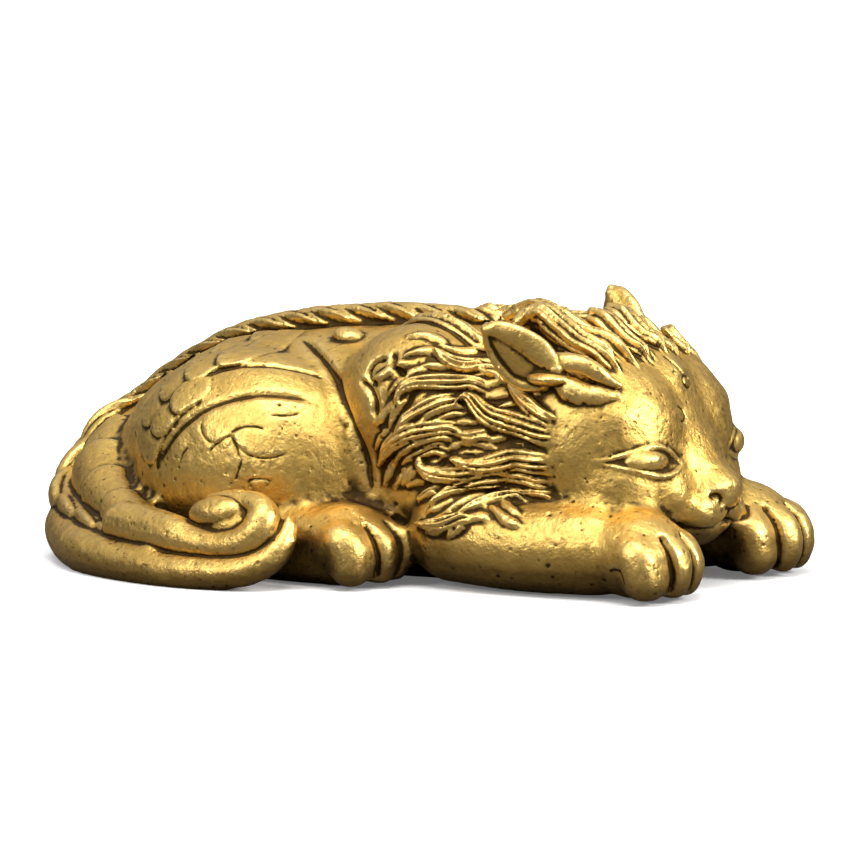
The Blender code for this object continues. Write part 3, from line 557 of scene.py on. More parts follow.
def mane(hair, skin):
    for flank in BOTH:
        for order, (x, z, heading, turn, length, sway, hook, half) in enumerate(reversed(MANE)):
            pairs = wander((x, z), heading, turn, length, sway, hook)
            path, facing = skin.snap(skin.flank(flank, pairs))
            strands = max(2, round(half * 2.2))
            hair.add(path, facing, half, strands, tall=0.75, bed=0.35 + 0.5 * order / len(MANE))


print("the mane has", len(MANE), "locks on each flank")

# %% [markdown]
# ## The crown
# On the crown the locks stand away from the skull, so a raised skin isn't enough. Each gets a core of wax
# that lifts it to its crest, and the strands are raised on that core.

# %% Crown
# Locks of the crown, from the forehead back: root x and y, heading, turn, length, sway, hook, half width,
# height of the crest, and whether the end is blunt. A heading of 180 runs straight back.
CROWN = [
    (38.0, 12.8, 175, 5, 14.0, 0, 0, 1.6, 35.5, 0),
    (40.6, 8.0, 165, -8, 6.0, 0, 0, 1.3, 35.8, 1),
    (41.0, 3.4, 170, -8, 9.0, 0, 0, 1.5, 37.2, 1),
    (41.4, -0.2, 174, -12, 12.0, 0, 0, 1.8, 38.8, 1),
    (40.8, -4.4, 178, -10, 11.2, 0, 0, 2.1, 38.0, 1),
    (30.0, 7.0, 182, 10, 21.0, 8, 0, 1.9, 37.2, 0),
    (26.0, 1.0, 180, 0, 14.0, 0, 0, 1.8, 38.6, 0),
    (16.5, 0.5, 180, 0, 7.5, 0, 0, 1.4, 38.6, 1),
    (40.6, -7.8, 180, -20, 24.0, 0, 30, 2.2, 40.0, 0),
    (39.6, -11.4, 184, -44, 19.5, 0, 100, 2.3, 39.4, 0),
    (21.0, -10.2, 184, -24, 21.5, 0, 0, 2.2, 36.8, 0),
    (21.0, 11.0, 178, 20, 21.5, 0, 0, 2.0, 36.8, 0),
]


def crown(clay, hair, skin):
    for x, y, heading, turn, length, sway, hook, half, crest, blunt in CROWN:
        plan = wander((x, y), heading, turn, length, sway, hook)
        path, facing = skin.snap(skin.top(plan))
        lift = max(0, crest - path[len(path) * 3 // 4, 2])
        run = np.linspace(0, 1, len(path))
        ends = [0.9, 0.8] if blunt else [0.95, 0.7]
        rise = lift * np.interp(run, [0, 0.4, 0.78, 0.92, 1], [0, 0.15, 1.0, *ends])
        path[:, 2] += rise
        widths = Hair.BLUNT if blunt else Hair.POINTED
        core = half * 0.8 * np.interp(run, [0, 0.12, 0.5, 0.8, 1], widths) * np.clip(run / 0.24, 0.08, 1)
        sweep(clay, path - facing * rise[:, None] * 0.5, core, core * 0.6 + rise * 0.5, facing)
        hair.add(path + facing * half * 0.4, facing, half, round(half * 2), tall=0.55, widths=widths)


print("the crown has", len(CROWN), "locks")

# %% [markdown]
# ## Hair between the locks
# Bare skin between the locks would look like a bald beast with ribbons. Thin single hairs fill that ground.
# They start at even steps and follow one slow flow, back from the face and down behind the shoulder.

# %% Thin hairs
def comb(hair, skin):
    """Thin hairs that fill the ground between the locks, flowing back from the face and down at the back."""
    for flank in BOTH:
        for row, root_z in enumerate(np.arange(10.5, 35, 1.5)):
            for root_x in np.arange(30 - row % 3, 9.0, -5.2):
                x, z = root_x, root_z
                pairs = []
                for step in range(9):
                    if x < 13 and z < 14:
                        break
                    pairs.append((x, z))
                    drop = max(0, min(1, (26 - x) / 20)) * max(0, min(1, (36 - z) / 10))
                    heading = -0.15 + 1.1 * drop + 0.35 * math.sin(x * 0.55 + root_z * 0.3)
                    x -= 0.9 * math.cos(heading)
                    z -= 0.9 * math.sin(heading)
                if len(pairs) < 4:
                    continue
                path, facing = skin.snap(skin.flank(flank, pairs))
                hair.add(path, facing, 0.9, 1, tall=0.75, groove=0)


# %% [markdown]
# ## Ears
# Each ear is a leaf laid back, with a hollow that opens to the side, and two smooth locks run from it
# towards the brow. A bent sheet could make the leaf, but the ear on a casting is thick. So three flat bars
# make it: the leaf and a rim on each side of its hollow.

# %% Ears and the locks in front of them
# For each flank: the tip of the ear and its base.
EARS = ((RIGHT, (21.6, -20.0, 37.6), (30.6, -17.4, 31.0)), (LEFT, (21.6, 19.6, 40.6), (27.2, 16.0, 31.4)))


def ear(clay, flank, tip, base):
    """A leaf laid back from base to tip, open to the side, with a broad flap above and a thin rim below."""
    tip, base = np.array(tip), np.array(base)
    lean = unit(tip - base)
    opening = unit(np.array([0.35, flank * 0.88, -0.25]))
    across = unit(np.cross(opening, lean)) * flank
    # The leaf, the flap above its hollow and the rim below: how far up, half widths, half height, how deep.
    for offsets, widths, high, sunk in (
        ((-0.4, -0.6, -0.4, 0.0, 0.0), (3.2, 3.5, 3.0, 1.7, 0.7), 1.1, 0.75),
        ((1.6, 2.1, 2.0, 1.2, 0.1), (1.2, 2.0, 1.9, 1.5, 1.0), 1.0, 0.2),
        ((-1.6, -3.6, -3.4, -1.8, -0.1), (0.9, 0.9, 0.8, 0.7, 0.7), 0.8, 0.3),
    ):
        stations = []
        for t, offset, wide in zip((0.0, 0.28, 0.58, 0.86, 1.0), offsets, widths):
            stations.append((*(base + (tip - base) * t + across * offset - opening * sunk), wide, high))
        limb(clay, stations, opening)


def temple(clay, flank, base):
    """Two smooth locks that run forward from the ear to the hairline."""
    # Start as x and z, heading, turn, length, sway, half width.
    for start, heading, turn, length, sway, half in (
        ((28.5, 33.2), -8, -15, 12.5, 16, 1.5),
        ((31.6, 30.4), -36, 50, 8.8, 0, 1.9),
    ):
        plan = wander(start, heading, turn, length, sway)
        aside = flank * np.interp(np.linspace(0, 1, len(plan)), [0, 0.4, 1], [abs(base[1]) - 0.6, 16.2, 13.6])
        path = np.stack([plan[:, 0], aside, plan[:, 1]], 1)
        up = unit(np.array([0.2, flank, 0.4]))
        taper = half * np.interp(np.linspace(0, 1, len(path)), [0, 0.2, 0.7, 1], [0.5, 1, 0.9, 0.25])
        sweep(clay, path, taper, taper * 0.8, up)


print("ears:", len(EARS))

# %% [markdown]
# ## Eyes
# The beast sleeps, so an eye is a closed lid: an egg that bulges between two thin folds. The folds are
# lines cast onto the face from the front, so they stay on the skin whatever the head's shape is.

# %% Eyes
# The two folds of a lid, from the outer corner to the inner one: distance from the middle, and heights.
LID_ASIDE = (17.6, 15.0, 12.2, 9.6, 6.7)
UPPER_LID = (19.3, 20.4, 21.3, 20.8, 18.6)
LOWER_LID = (19.2, 18.0, 17.2, 17.3, 18.3)


def eyes(clay, skin):
    """A closed lid bulges between two thin folds that lie on the skin and meet at both corners."""
    for flank in BOTH:
        out = EYE_OUT if flank == LEFT else 0
        size = 1 + out * 0.15
        middle = (42.9 + out * 0.4, flank * (12.1 + out), 19.1 + out * 0.6)
        ball(clay, middle, (2.5 * size, 3.9, 2.1 * size), (0, 0, flank * 32))
        for heights, thick in ((UPPER_LID, 0.4), (LOWER_LID, 0.34)):
            line = [(flank * (y + out), z + out * 0.6) for y, z in zip(LID_ASIDE, heights)]
            fold = skin.front(spline(line))
            taper = thick * np.interp(np.linspace(0, 1, len(fold)), [0, 0.2, 0.8, 1], [0.3, 1, 1, 0.4])
            sweep(clay, fold, taper, taper, (0, 0, 1))


print("each fold of a lid runs through", len(LID_ASIDE), "places")

# %% [markdown]
# ## The ridge
# A twisted ridge runs down the spine and out along the tail, and ends in a point between the bands. It
# looks like a rope, so it is made like one: strands that start a step apart and wind over a core. Past the
# rump it loosens into overlapping leaves.

# %% Ridge
# The line of the ridge: x, y, z, radius.
RIDGE = [
    (13.0, 0.0, 36.4, 2.6),
    (0.0, 0.0, 36.6, 2.6),
    (-8.0, 0.0, 36.3, 2.7),
    (-22.0, 0.0, 34.6, 2.8),
    (-33.0, 0.0, 31.8, 2.8),
    (-44.0, 0.0, 26.2, 2.7),
    (-51.0, -1.5, 20.6, 2.6),
    (-53.8, -5.5, 17.0, 2.5),
    (-55.4, -9.0, 13.8, 2.4),
    (-55.6, -13.0, 11.0, 2.3),
    (-53.2, -17.5, 9.0, 2.3),
    (-48.2, -22.0, 7.6, 2.2),
    (-41.8, -26.6, 6.6, 2.1),
    (-34.5, -31.2, 5.4, 1.8),
    (-27.5, -34.9, 4.6, 0.8),
]

# The strands of the ridge lie a step apart and reach this far each way. Past the run they are leaves.
RIDGE_STEP = 5.8
RIDGE_REACH = 9.0
RIDGE_RUN = 66.0

# Each leaf of the ridge: how far along, how far out, and its shares of the ridge's radius, wide and high.
LEAF = ((0.0, -0.4, 0.5, 0.4), (4.2, 0.3, 0.9, 0.55), (8.4, 0.7, 0.75, 0.5), (12.6, 0.7, 0.1, 0.1))


def along_line(at, run, values):
    """Values of a line at a length along it."""
    return np.stack([np.interp(at, run, column) for column in values.T], -1)


def ridge(clay, hair):
    """The twisted ridge of the spine, which runs out along the tail and ends in a point between its bands."""
    line = spline(RIDGE, 12)
    inner = line[:, :3] * [1, 0, 0] + [0, 0, 12]
    inner[:, 0] = np.clip(inner[:, 0], -45, 5)
    ahead = unit(np.gradient(line[:, :3], axis=0))
    side = unit(np.cross(ahead, line[:, :3] - inner))
    top = np.cross(side, ahead)
    sweep(clay, line[:, :3], line[:, 3] * 0.8, line[:, 3] * 0.8, top)
    run = np.concatenate([[0], np.cumsum(np.linalg.norm(np.diff(line[:, :3], axis=0), axis=1))])
    turn = np.linspace(-1, 1, 17)
    swing = (turn * math.radians(80))[:, None]
    for start in np.arange(0, RIDGE_RUN, RIDGE_STEP):
        at = start + RIDGE_REACH * (1 - turn)
        centre, right, up = (along_line(at, run, values) for values in (line, side, top))
        outward = up * np.cos(swing) - right * np.sin(swing)
        radius = centre[:, 3:]
        path = centre[:, :3] + outward * radius * 0.8
        hair.add(path, outward, radius[8, 0] * 0.5, 2, tall=0.85, groove=0.3)
    for start in np.arange(RIDGE_RUN, run[-1] - 12.6, RIDGE_STEP * 1.4):
        stations = []
        for step, out, wide, high in LEAF:
            x, y, z, radius = along_line(start + step, run, line)
            up = along_line(start + step, run, top)
            place = np.array((x, y, z)) + up * (out + radius * 0.45)
            stations.append((*place, radius * wide, radius * high))
        limb(clay, stations, along_line(start + 4, run, top))


print("the ridge follows", len(RIDGE), "stations")

# %% [markdown]
# ## Plates and the curl of the tail
# The upper band of the tail carries a row of plates, each proud at its front end, and its tip rolls up over
# a round bulb. The plates are a rule for the radius of the bar, because separate plates would leave gaps
# under their edges. The curl lies in a tilted plane, so its stations are given in that plane.

# %% Plates and curl
# Plates of the upper band, and the curl at its end: across and up from the middle, how far out, and radius.
PLATE = 8.6
COIL_CENTRE, COIL_ACROSS, COIL_UP = (-11.3, -35.0, 9.5), (0.98, -0.05, -0.06), (0.0, 0.45, 0.88)
COIL = [
    (-22.5, -1.9, -3.8, 3.3),
    (-16.5, -2.7, -2.2, 3.5),
    (-10.5, -3.4, -0.4, 3.1),
    (-6.5, -3.9, 0, 2.5),
    (-2.5, -4.0, 0, 2.3),
    (1.2, -3.2, 0, 2.4),
    (3.7, -1.4, 0, 2.6),
    (4.4, 0.9, 0, 2.7),
    (3.2, 2.7, 0, 2.2),
    (0.6, 3.2, 0, 1.8),
    (-2.6, 3.0, 0, 1.6),
    (-5.0, 2.2, 0, 1.5),
]


def coil_spot(across, upward, outward):
    """A place on the plane of the tail's coil."""
    plane = np.array([COIL_ACROSS, COIL_UP, np.cross(COIL_ACROSS, COIL_UP)])
    return np.array(COIL_CENTRE) + np.array([across, upward, outward]) @ plane


def plates(run, angle):
    """The upper band is a row of plates. Each rises at a rounded front end and thins towards the next."""
    place = (run + 2.8 * np.cos(angle - 0.9)) / PLATE
    place = place - np.floor(place)
    outer = np.clip((np.cos(angle) + 0.75) / 0.5, 0, 1)
    return 0.9 + outer * (0.2 - 0.13 * place - 0.1 * np.exp(-place * 22))


def tail_details(clay):
    """The plates of the upper band, which rolls up over a bulb that is its own end."""
    line = spline(UPPER_BAND[:-1], 30)
    sweep(clay, line[:, :3], line[:, 3], line[:, 3], (0, 0, 1), around=64, relief=plates)
    stations = [(*coil_spot(across, up, out), radius, radius) for across, up, out, radius in COIL]
    limb(clay, stations, np.cross(COIL_ACROSS, COIL_UP))
    lean = -math.degrees(math.atan2(COIL_UP[1], COIL_UP[2]))
    ball(clay, coil_spot(1.0, 0.6, -1.7), (3.2, 2.8, 3.0))
    ball(clay, coil_spot(-3.4, 0.8, 0.4), (4.9, 2.6, 2.5), (lean, -6, 0))
    ball(clay, coil_spot(-1.5, 0, -1.4), (6.5, 3.4, 4.2), (lean, 0, 0))


print("the curl has", len(COIL), "stations, and a plate is", PLATE, "mm long")

# %% [markdown]
# ## Laying the details on
# The hairs, ears, eyes, ridge and tail are laid on the softened form and pressed again at the fine grain.
# The strands are raised only after that, because a remesh would blur them. One light evening then takes
# the steps of the grain out of their edges.

# %% Everything laid on the form
DETAIL_SOFTENING = 2
BOSS = (-8.6, 34.6)


def shoulder(clay, skin):
    """A small boss high on each flank, behind the shoulder."""
    for flank in BOTH:
        ball(clay, skin.flank(flank, [BOSS])[0], (2.6, 1.8, 1.4), (0, 8, 0))


def details(points, faces):
    """Everything laid on the softened form, and the hair that is raised from it later."""
    skin = Skin(points, faces)
    clay, hair = Clay(), Hair()
    clay.add(points, faces)
    clay.faces = [list(dict.fromkeys(f)) for f in clay.faces]
    comb(hair, skin)
    mane(hair, skin)
    crown(clay, hair, skin)
    for flank, tip, base in EARS:
        ear(clay, flank, tip, base)
        temple(clay, flank, base)
    eyes(clay, skin)
    ridge(clay, hair)
    tail_details(clay)
    shoulder(clay, skin)
    return clay, hair


clay, hair = details(points, faces)
points, faces = fuse(clay, "details", DETAIL_VOXEL, DETAIL_SOFTENING)
hair.raise_from(points, faces)
for axis in range(3):
    points[:, axis] = evened(points[:, axis], faces)
print("with hair, ears, eyes and ridge it has", len(points), "points and", len(hair.locks), "locks")

# %% [markdown]
# ## Scales
# Three arcs of overlapping scales cover the back of each haunch and fade out towards the foot. Each could
# be a small mesh of its own, but on a casting they are low relief. So the skin itself is raised, most at
# each scale's rounded tip.

# %% Scales
def scales(points, faces):
    """Raises overlapping scales in arcs over each haunch, proudest at their rounded tips."""
    facing = normals_of(points, faces)
    x, z = points[:, 0] + 14, points[:, 2] - 12.8
    rump = (np.hypot(x / 17.0, z / 15.4) > 1.0) & (points[:, 0] > -47) & (points[:, 0] < -9)
    foot = 12 + 0.5 * np.maximum(-30 - points[:, 0], 0)
    rump = rump * np.clip((points[:, 2] - foot) / 6, 0, 1)
    rump = rump * np.clip((np.abs(points[:, 1]) - 3.4) / 0.8, 0, 1)
    raised = np.zeros(len(points))
    # Each arc: how wide and tall it runs round the haunch, the length and width of its scales, their angles.
    for wide, tall, length, across, angles in (
        (19.0, 17.4, 7.4, 4.8, range(128, 208, 15)),
        (22.6, 21.0, 7.0, 4.6, range(108, 200, 13)),
        (26.4, 24.6, 6.4, 4.2, range(92, 190, 11)),
    ):
        for degrees in angles:
            a = math.radians(degrees)
            tip = unit(np.array([-wide * math.sin(a), tall * math.cos(a)]))
            offset = np.stack([x - wide * math.cos(a), z - tall * math.sin(a)], 1)
            along = offset @ tip / (length / 2)
            aside = offset @ np.array([-tip[1], tip[0]]) / (across / 2)
            rim = (np.abs(along) ** 2.4 + np.abs(aside) ** 2.4) ** (1 / 2.4)
            crown = 1 - 0.25 * aside**2
            slope = 0.15 + 0.85 * np.clip((along + 1) / 2, 0, 1)
            shape = np.clip((1 - rim) * across, 0, 0.45) / 0.45 * slope * crown
            raised = np.maximum(raised, shape)
    points += facing * (rump * raised * 0.85)[:, None]


plain = points.copy()
scales(points, faces)
print("the scales stand up to", round(float(np.linalg.norm(points - plain, axis=1).max()), 2), "mm proud")

# %% [markdown]
# ## Cut lines
# Mouth, nostrils, the edge of the thigh, the hook on the shoulder and the clefts between the toes are cut
# with a round tool. A boolean with a thin tube would cut them too, but with sharp edges and a messy mesh.
# `carve` instead presses each nearby point in, by how close it lies to the line.

# %% Creases
# Creases drawn on each flank: width, depth, start as x and z, heading, turn and length.
FLANK_CREASES = [
    (0.6, 0.45, (-30.4, 15.0), 68, -88, 29.5),
    (0.45, 0.5, (-24.6, 29.2), 24, -50, 17.6),
    (0.6, 0.8, (-17.0, 34.0), -8, -78, 31.0),
    (0.45, 0.8, (9.0, 30.8), 178, -85, 5.0),
    (0.45, 0.8, (4.9, 32.4), 150, 225, 7.0),
    (0.5, 0.7, (0.6, 29.4), -5, -100, 7.0),
]

# Lines of the face, as distance from the middle and height.
MOUTH = ((0, 9.8), (3, 8.9), (6, 8.9), (8.6, 9.8), (11, 11))
NOSTRIL = ((4.9, 13.5), (4.2, 14.0), (3.4, 13.8), (3.1, 13.0), (3.5, 12.3))
LIP = ((2.2, 12.2), (1.2, 11.6), (0, 11.3), (0, 9.9))

# Clefts between the toes: how far to the side, how far back.
CLEFTS = ((-3.1, 1.0), (0.9, 0.0), (4.3, 0.7))


def carve(points, facing, path, width, depth, lip=0.0, fall=1.5):
    """Cuts a rounded crease along a path on the skin. lip raises the ground on the left of it, dying away."""
    path = path[np.append(True, np.linalg.norm(np.diff(path, axis=0), axis=1) > 0.01)]
    reach = width * 3 + (fall * 3 if lip else 0)
    near = np.flatnonzero(((points > path.min(0) - reach) & (points < path.max(0) + reach)).all(1))
    a, step = path[:-1], np.diff(path, axis=0)
    offset = points[near][:, None] - a[None]
    t = np.clip((offset * step).sum(-1) / (step * step).sum(-1), 0, 1)
    gap = offset - t[..., None] * step
    distance = np.linalg.norm(gap, axis=-1)
    best = distance.argmin(1)
    pick = np.arange(len(near))
    distance, gap, t = distance[pick, best], gap[pick, best], t[pick, best]
    along = (best + t) / len(step)
    taper = np.clip(np.minimum(along, 1 - along) * 8, 0, 1)
    cut = -depth * np.exp(-((distance / width) ** 2))
    if lip:
        left = (np.cross(step[best], gap) * facing[near]).sum(-1) > 0
        cut += np.where(left, lip * (1 - np.exp(-((distance / width) ** 2))) * np.exp(-distance / fall), 0)
    points[near] += facing[near] * (cut * taper)[:, None]


def creases(points, faces):
    """Cuts the mouth, nostrils, thigh and shoulder lines, and the clefts between the toes."""
    facing = normals_of(points, faces)
    skin = Skin(points, faces)

    def cut(path, width, depth):
        carve(points, facing, path, width, depth)

    cut(skin.front(spline([(-y, z) for y, z in MOUTH[:0:-1]] + list(MOUTH))), 0.5, 0.9)
    for flank in BOTH:
        cut(skin.front(spline([(flank * y, z) for y, z in NOSTRIL])), 0.4, 0.8)
        cut(skin.front(spline([(flank * y, z) for y, z in LIP])), 0.35, 0.3)
        for width, depth, start, heading, turn, length in FLANK_CREASES:
            cut(skin.flank(flank, wander(start, heading, turn, length)), width, depth)
        for x, y in (FRONT_PAW, HIND_PAW):
            for aside, back in CLEFTS:
                drop = ((4.4, 9.6), (6.0, 7.6), (7.0, 4.4), (6.6, 1.0))
                path = [(x + ahead - back, flank * y + aside, z) for ahead, z in drop]
                cut(skin.snap(spline(path))[0], 0.5, 0.9)


creases(points, faces)
print("cut", len(FLANK_CREASES), "creases on each flank, and", len(CLEFTS), "clefts in each paw")

# %% [markdown]
# ## Cracks and small marks
# The thigh carries a cut scale outline and a few hairline cracks, and the forehead a small ring and a
# curl. They could be painted on as dark lines, but a real cut catches light on one lip. So each is a short
# line on the skin, given by its start, heading, turn and length, and cut with a fine point.

# %% Small marks
# Marks on the right flank and leg: start as x and z, heading, turn, length. The brow's start is y and z.
FLANK_MARKS = [
    (-11.5, 22.0, 150, 75, 6.0),
    (-16.8, 21.6, 295, 100, 10.5),
    (-14.6, 18.0, 262, -25, 3.7),
    (-16.7, 21.1, 315, -35, 3.6),
    (-20.4, 18.4, 50, -25, 4.9),
    (-22.2, 23.1, 270, 100, 5.5),
    (-13.9, 14.4, 40, -75, 4.2),
    (-13.6, 14.2, 330, 70, 3.6),
    (-25.5, 16.5, 80, -40, 3.2),
    (-7.5, 24.6, 200, -35, 4.5),
    (43.2, 4.6, 40, -60, 2.6),
    (45.4, 5.4, 300, -20, 2.4),
]
BROW_MARKS = [(0.9, 29.7, 90, 330, 5.0), (-4.8, 26.5, 10, -230, 4.2), (-1.6, 33.6, 290, 20, 3.4)]
HAIRLINE = {"width": 0.18, "depth": 0.14, "lip": 0.1, "fall": 1.2}
SCRATCH = {"width": 0.22, "depth": 0.3}


def marks(points, faces):
    facing = normals_of(points, faces)
    skin = Skin(points, faces)
    for x, z, heading, turn, length in FLANK_MARKS:
        carve(points, facing, skin.flank(RIGHT, wander((x, z), heading, turn, length)), **HAIRLINE)
    for y, z, heading, turn, length in BROW_MARKS:
        carve(points, facing, skin.front(wander((y, z), heading, turn, length)), **SCRATCH)


marks(points, faces)
print("cut", len(FLANK_MARKS), "marks on the flank and", len(BROW_MARKS), "on the brow")

# %% [markdown]
# ## A hand-worked, sand-cast skin
# No cast surface is even. The wax carries the maker's soft dents, and the sand leaves pits where grains or
# gas touched the metal. The dents are a slow noise over the skin. The pits are small craters at seeded
# places, so they come out alike each time.

# %% Dents and pits
SEED = 11
SMALL_PITS, LARGE_PITS = 1500, 80
DENT_WAVES = 12


def dents(points, facing, size, depth, seed):
    """Moves the skin by a few smooth waves in mixed directions, size apart."""
    random = np.random.default_rng(seed)
    total = np.zeros(len(points))
    for _ in range(DENT_WAVES):
        heading = unit(random.normal(size=3))
        apart, start = size * random.uniform(0.7, 1.6), random.uniform(0, math.tau)
        total += np.sin(points @ heading * math.tau / apart + start)
    points += facing * (total / DENT_WAVES * depth * 2)[:, None]


def pits(points, facing, count, radius, depth, seed):
    """Presses count small craters into the skin."""
    random = np.random.default_rng(seed)
    order = np.argsort(points[:, 0])
    along = points[order, 0]
    for middle in random.integers(0, len(points), count):
        size = radius * random.uniform(0.5, 1.3)
        first, last = np.searchsorted(along, points[middle, 0] + np.array([-3, 3]) * size)
        near = order[first:last]
        stretch = np.array([1, random.uniform(0.6, 1.6), 1])
        far = np.linalg.norm((points[near] - points[middle]) * stretch, axis=1) / size
        near, far = near[far < 2], far[far < 2]
        points[near] -= facing[near] * (depth * random.uniform(0.5, 1.2) * np.exp(-(far**2) * 1.5))[:, None]


facing = normals_of(points, faces)
dents(points, facing, size=5.0, depth=0.07, seed=SEED)
dents(points, facing, size=1.8, depth=0.022, seed=SEED + 1)
pits(points, facing, SMALL_PITS, radius=0.23, depth=0.16, seed=SEED + 2)
pits(points, facing, LARGE_PITS, radius=0.5, depth=0.18, seed=SEED + 3)
print("the skin has", SMALL_PITS + LARGE_PITS, "pits")

# %% [markdown]
# ## Where it is hollow and where it stands proud
# Patina gathers in hollows, and rubbing takes it off the crests. Both can be measured: smooth a copy of
# the skin, and see how far each point lies below or above it. A short smoothing finds creases, a longer
# one finds folds. This is done before thinning, while all points lie equally far apart.

# %% Measure the relief
# Rounds of smoothing that find creases and folds, and how deep or proud counts in full, in millimetres.
CREASE_ROUNDS, FOLD_ROUNDS, FOLD_EVENING = 12, 40, 15
CREASE_DEEP, FOLD_DEEP = 0.035, 0.45
CREST_PROUD, SWELL_PROUD = 0.05, 0.25
SETTLING = 4


def relief(points, facing, faces, rounds):
    """How far each point lies below its smoothed neighbourhood, in millimetres."""
    smooth = points.copy()
    for _ in range(rounds):
        for axis in range(3):
            smooth[:, axis] = evened(smooth[:, axis], faces)
    below = ((smooth - points) * facing).sum(1)
    for _ in range(SETTLING):
        below = evened(below, faces)
    return below


def store(mesh, name, values):
    layer = mesh.attributes.new(name, "FLOAT", "POINT")
    layer.data.foreach_set("value", np.clip(values, 0, 1).astype(np.float32))
    print(name, "covers", round(float((values > 0.3).mean()) * 100), "% of the skin")


facing = normals_of(points, faces)
fine, broad = (relief(points, facing, faces, rounds) for rounds in (CREASE_ROUNDS, FOLD_ROUNDS))
for _ in range(FOLD_EVENING):
    broad = evened(broad, faces)
for name, depth in (("fine", fine), ("broad", broad)):
    print(name, "relief in mm, low, middle and high:", np.percentile(depth, [1, 50, 99]).round(3))

# %% [markdown]
# ## Rubbing the underside flat, and thinning
# The wax is rubbed flat where it stands, so that the casting doesn't rock. The fine grain has well over a
# million triangles, and most of them lie where the skin is smooth. Decimate takes those away first and
# keeps the strands. The measures of relief are stored before it, and it carries them along.

# %% Finish the mesh
TRIANGLES = 196000
NEARLY_FLAT = 0.05


def to_mesh(points, faces):
    """Rubs the underside flat at z = 0 and makes a mesh."""
    points[:, 2] = np.maximum(points[:, 2], 0)
    mesh = bpy.data.meshes.new("qilin")
    mesh.from_pydata(points, [], faces)
    return mesh


def thin(mesh, triangles):
    """Thins the skin to the wanted number of triangles and turns millimetres into metres."""
    obj = bpy.data.objects.new("wax", mesh)
    bpy.context.scene.collection.objects.link(obj)
    modifier = obj.modifiers.new("Thin", "DECIMATE")
    modifier.ratio = triangles / (2 * len(mesh.polygons))
    modifier.use_collapse_triangulate = True
    graph = bpy.context.evaluated_depsgraph_get()
    thinned = bpy.data.meshes.new_from_object(obj.evaluated_get(graph))
    bpy.data.objects.remove(obj)
    for vertex in thinned.vertices:
        if vertex.co.z < NEARLY_FLAT:
            vertex.co.z = 0
    thinned.transform(Matrix.Scale(MM, 4))
    return thinned


mesh = to_mesh(points, faces)
store(mesh, "hollow", np.maximum(fine / CREASE_DEEP, broad / FOLD_DEEP))
store(mesh, "proud", np.maximum(-fine / CREST_PROUD, -broad / SWELL_PROUD))
mesh = thin(mesh, TRIANGLES)
mesh.shade_smooth()
beast = bpy.data.objects.new("qilin_brass", mesh)
bpy.context.scene.collection.objects.link(beast)
print("the casting has", sum(len(f.vertices) - 2 for f in mesh.polygons), "triangles")

# %% [markdown]
# ## Where other parts stand close by
# Under the chin, behind the tail and wherever other parts or the table stand close, less light reaches, so
# the brass is painted darker there: this is painted shade. The bare body shows those places well enough:
# from points over it, short feelers go out in 24 directions, and the share that meets the body or the table
# is kept as a measure. Fine hair doesn't matter here, so the body as it was before the details is the one
# that is felt.

# %% Measure the shelter
# How many feelers a point has and how far they reach. Only every few points of the body are felt, and each
# vertex takes the mean of its nearest ones.
FEELERS, FEELER_REACH = 24, 14.0
EVERY, NEAREST = 5, 5


def feelers(count=FEELERS):
    """Directions spread evenly over a ball."""
    turn = np.arange(count) * math.pi * (3 - math.sqrt(5))
    height = 1 - (np.arange(count) + 0.5) * 2 / count
    wide = np.sqrt(1 - height**2)
    return [Vector(way) for way in np.stack([np.cos(turn) * wide, np.sin(turn) * wide, height], 1)]


def shelter(mesh, form_points, form_faces, reach=FEELER_REACH):
    """For each vertex, the share of directions in which the casting or the table stands close by."""
    facing = normals_of(form_points, form_faces)
    tree = BVHTree.FromPolygons(form_points.tolist(), form_faces.tolist())
    ways = feelers()
    felt = list(zip(form_points[::EVERY], facing[::EVERY]))
    spots = KDTree(len(felt))
    blocked = []
    for number, (spot, up) in enumerate(felt):
        up = Vector(up)
        start = Vector(spot) + up * 0.7
        spots.insert(spot, number)
        hits = total = 0.0
        for way in ways:
            weight = way.dot(up)
            if weight > 0.1:
                total += weight
                floor_near = way.z < 0 and start.z < -way.z * reach
                if floor_near or tree.ray_cast(start, way, reach)[0]:
                    hits += weight
        blocked.append(hits / total)
    spots.balance()
    shares = []
    for vertex in mesh.vertices:
        found = spots.find_n(vertex.co / MM, NEAREST)
        shares.append(sum(blocked[number] for _, number, _ in found) / len(found))
    return np.array(shares)


store(mesh, "shelter", shelter(mesh, body_points, body_faces))

# %% [markdown]
# ## Old brass: how its shader is built
# A shader is a net of small steps, and typing each node out would hide what it does. So a few helpers come
# first: one reads a stored measure, one makes a ramp, one mixes, one does sums, and one makes noise.

# %% Helpers for shaders
def node(tree, kind, **values):
    """Adds a node and sets its inputs by name."""
    made = tree.nodes.new(kind)
    for name, value in values.items():
        made.inputs[name].default_value = value
    return made


def measure(tree, name):
    """Reads a measure that is stored on the mesh."""
    made = tree.nodes.new("ShaderNodeAttribute")
    made.attribute_name = name
    return made.outputs["Fac"]


def ramp(tree, source, *stops):
    """A ramp from stops of position and grey value or colour."""
    made = tree.nodes.new("ShaderNodeValToRGB")
    while len(made.color_ramp.elements) < len(stops):
        made.color_ramp.elements.new(0.5)
    for element, (place, colour) in zip(made.color_ramp.elements, stops):
        element.position = place
        element.color = (*colour, 1) if isinstance(colour, tuple) else (colour, colour, colour, 1)
    tree.links.new(source, made.inputs["Fac"])
    return made.outputs["Color"]


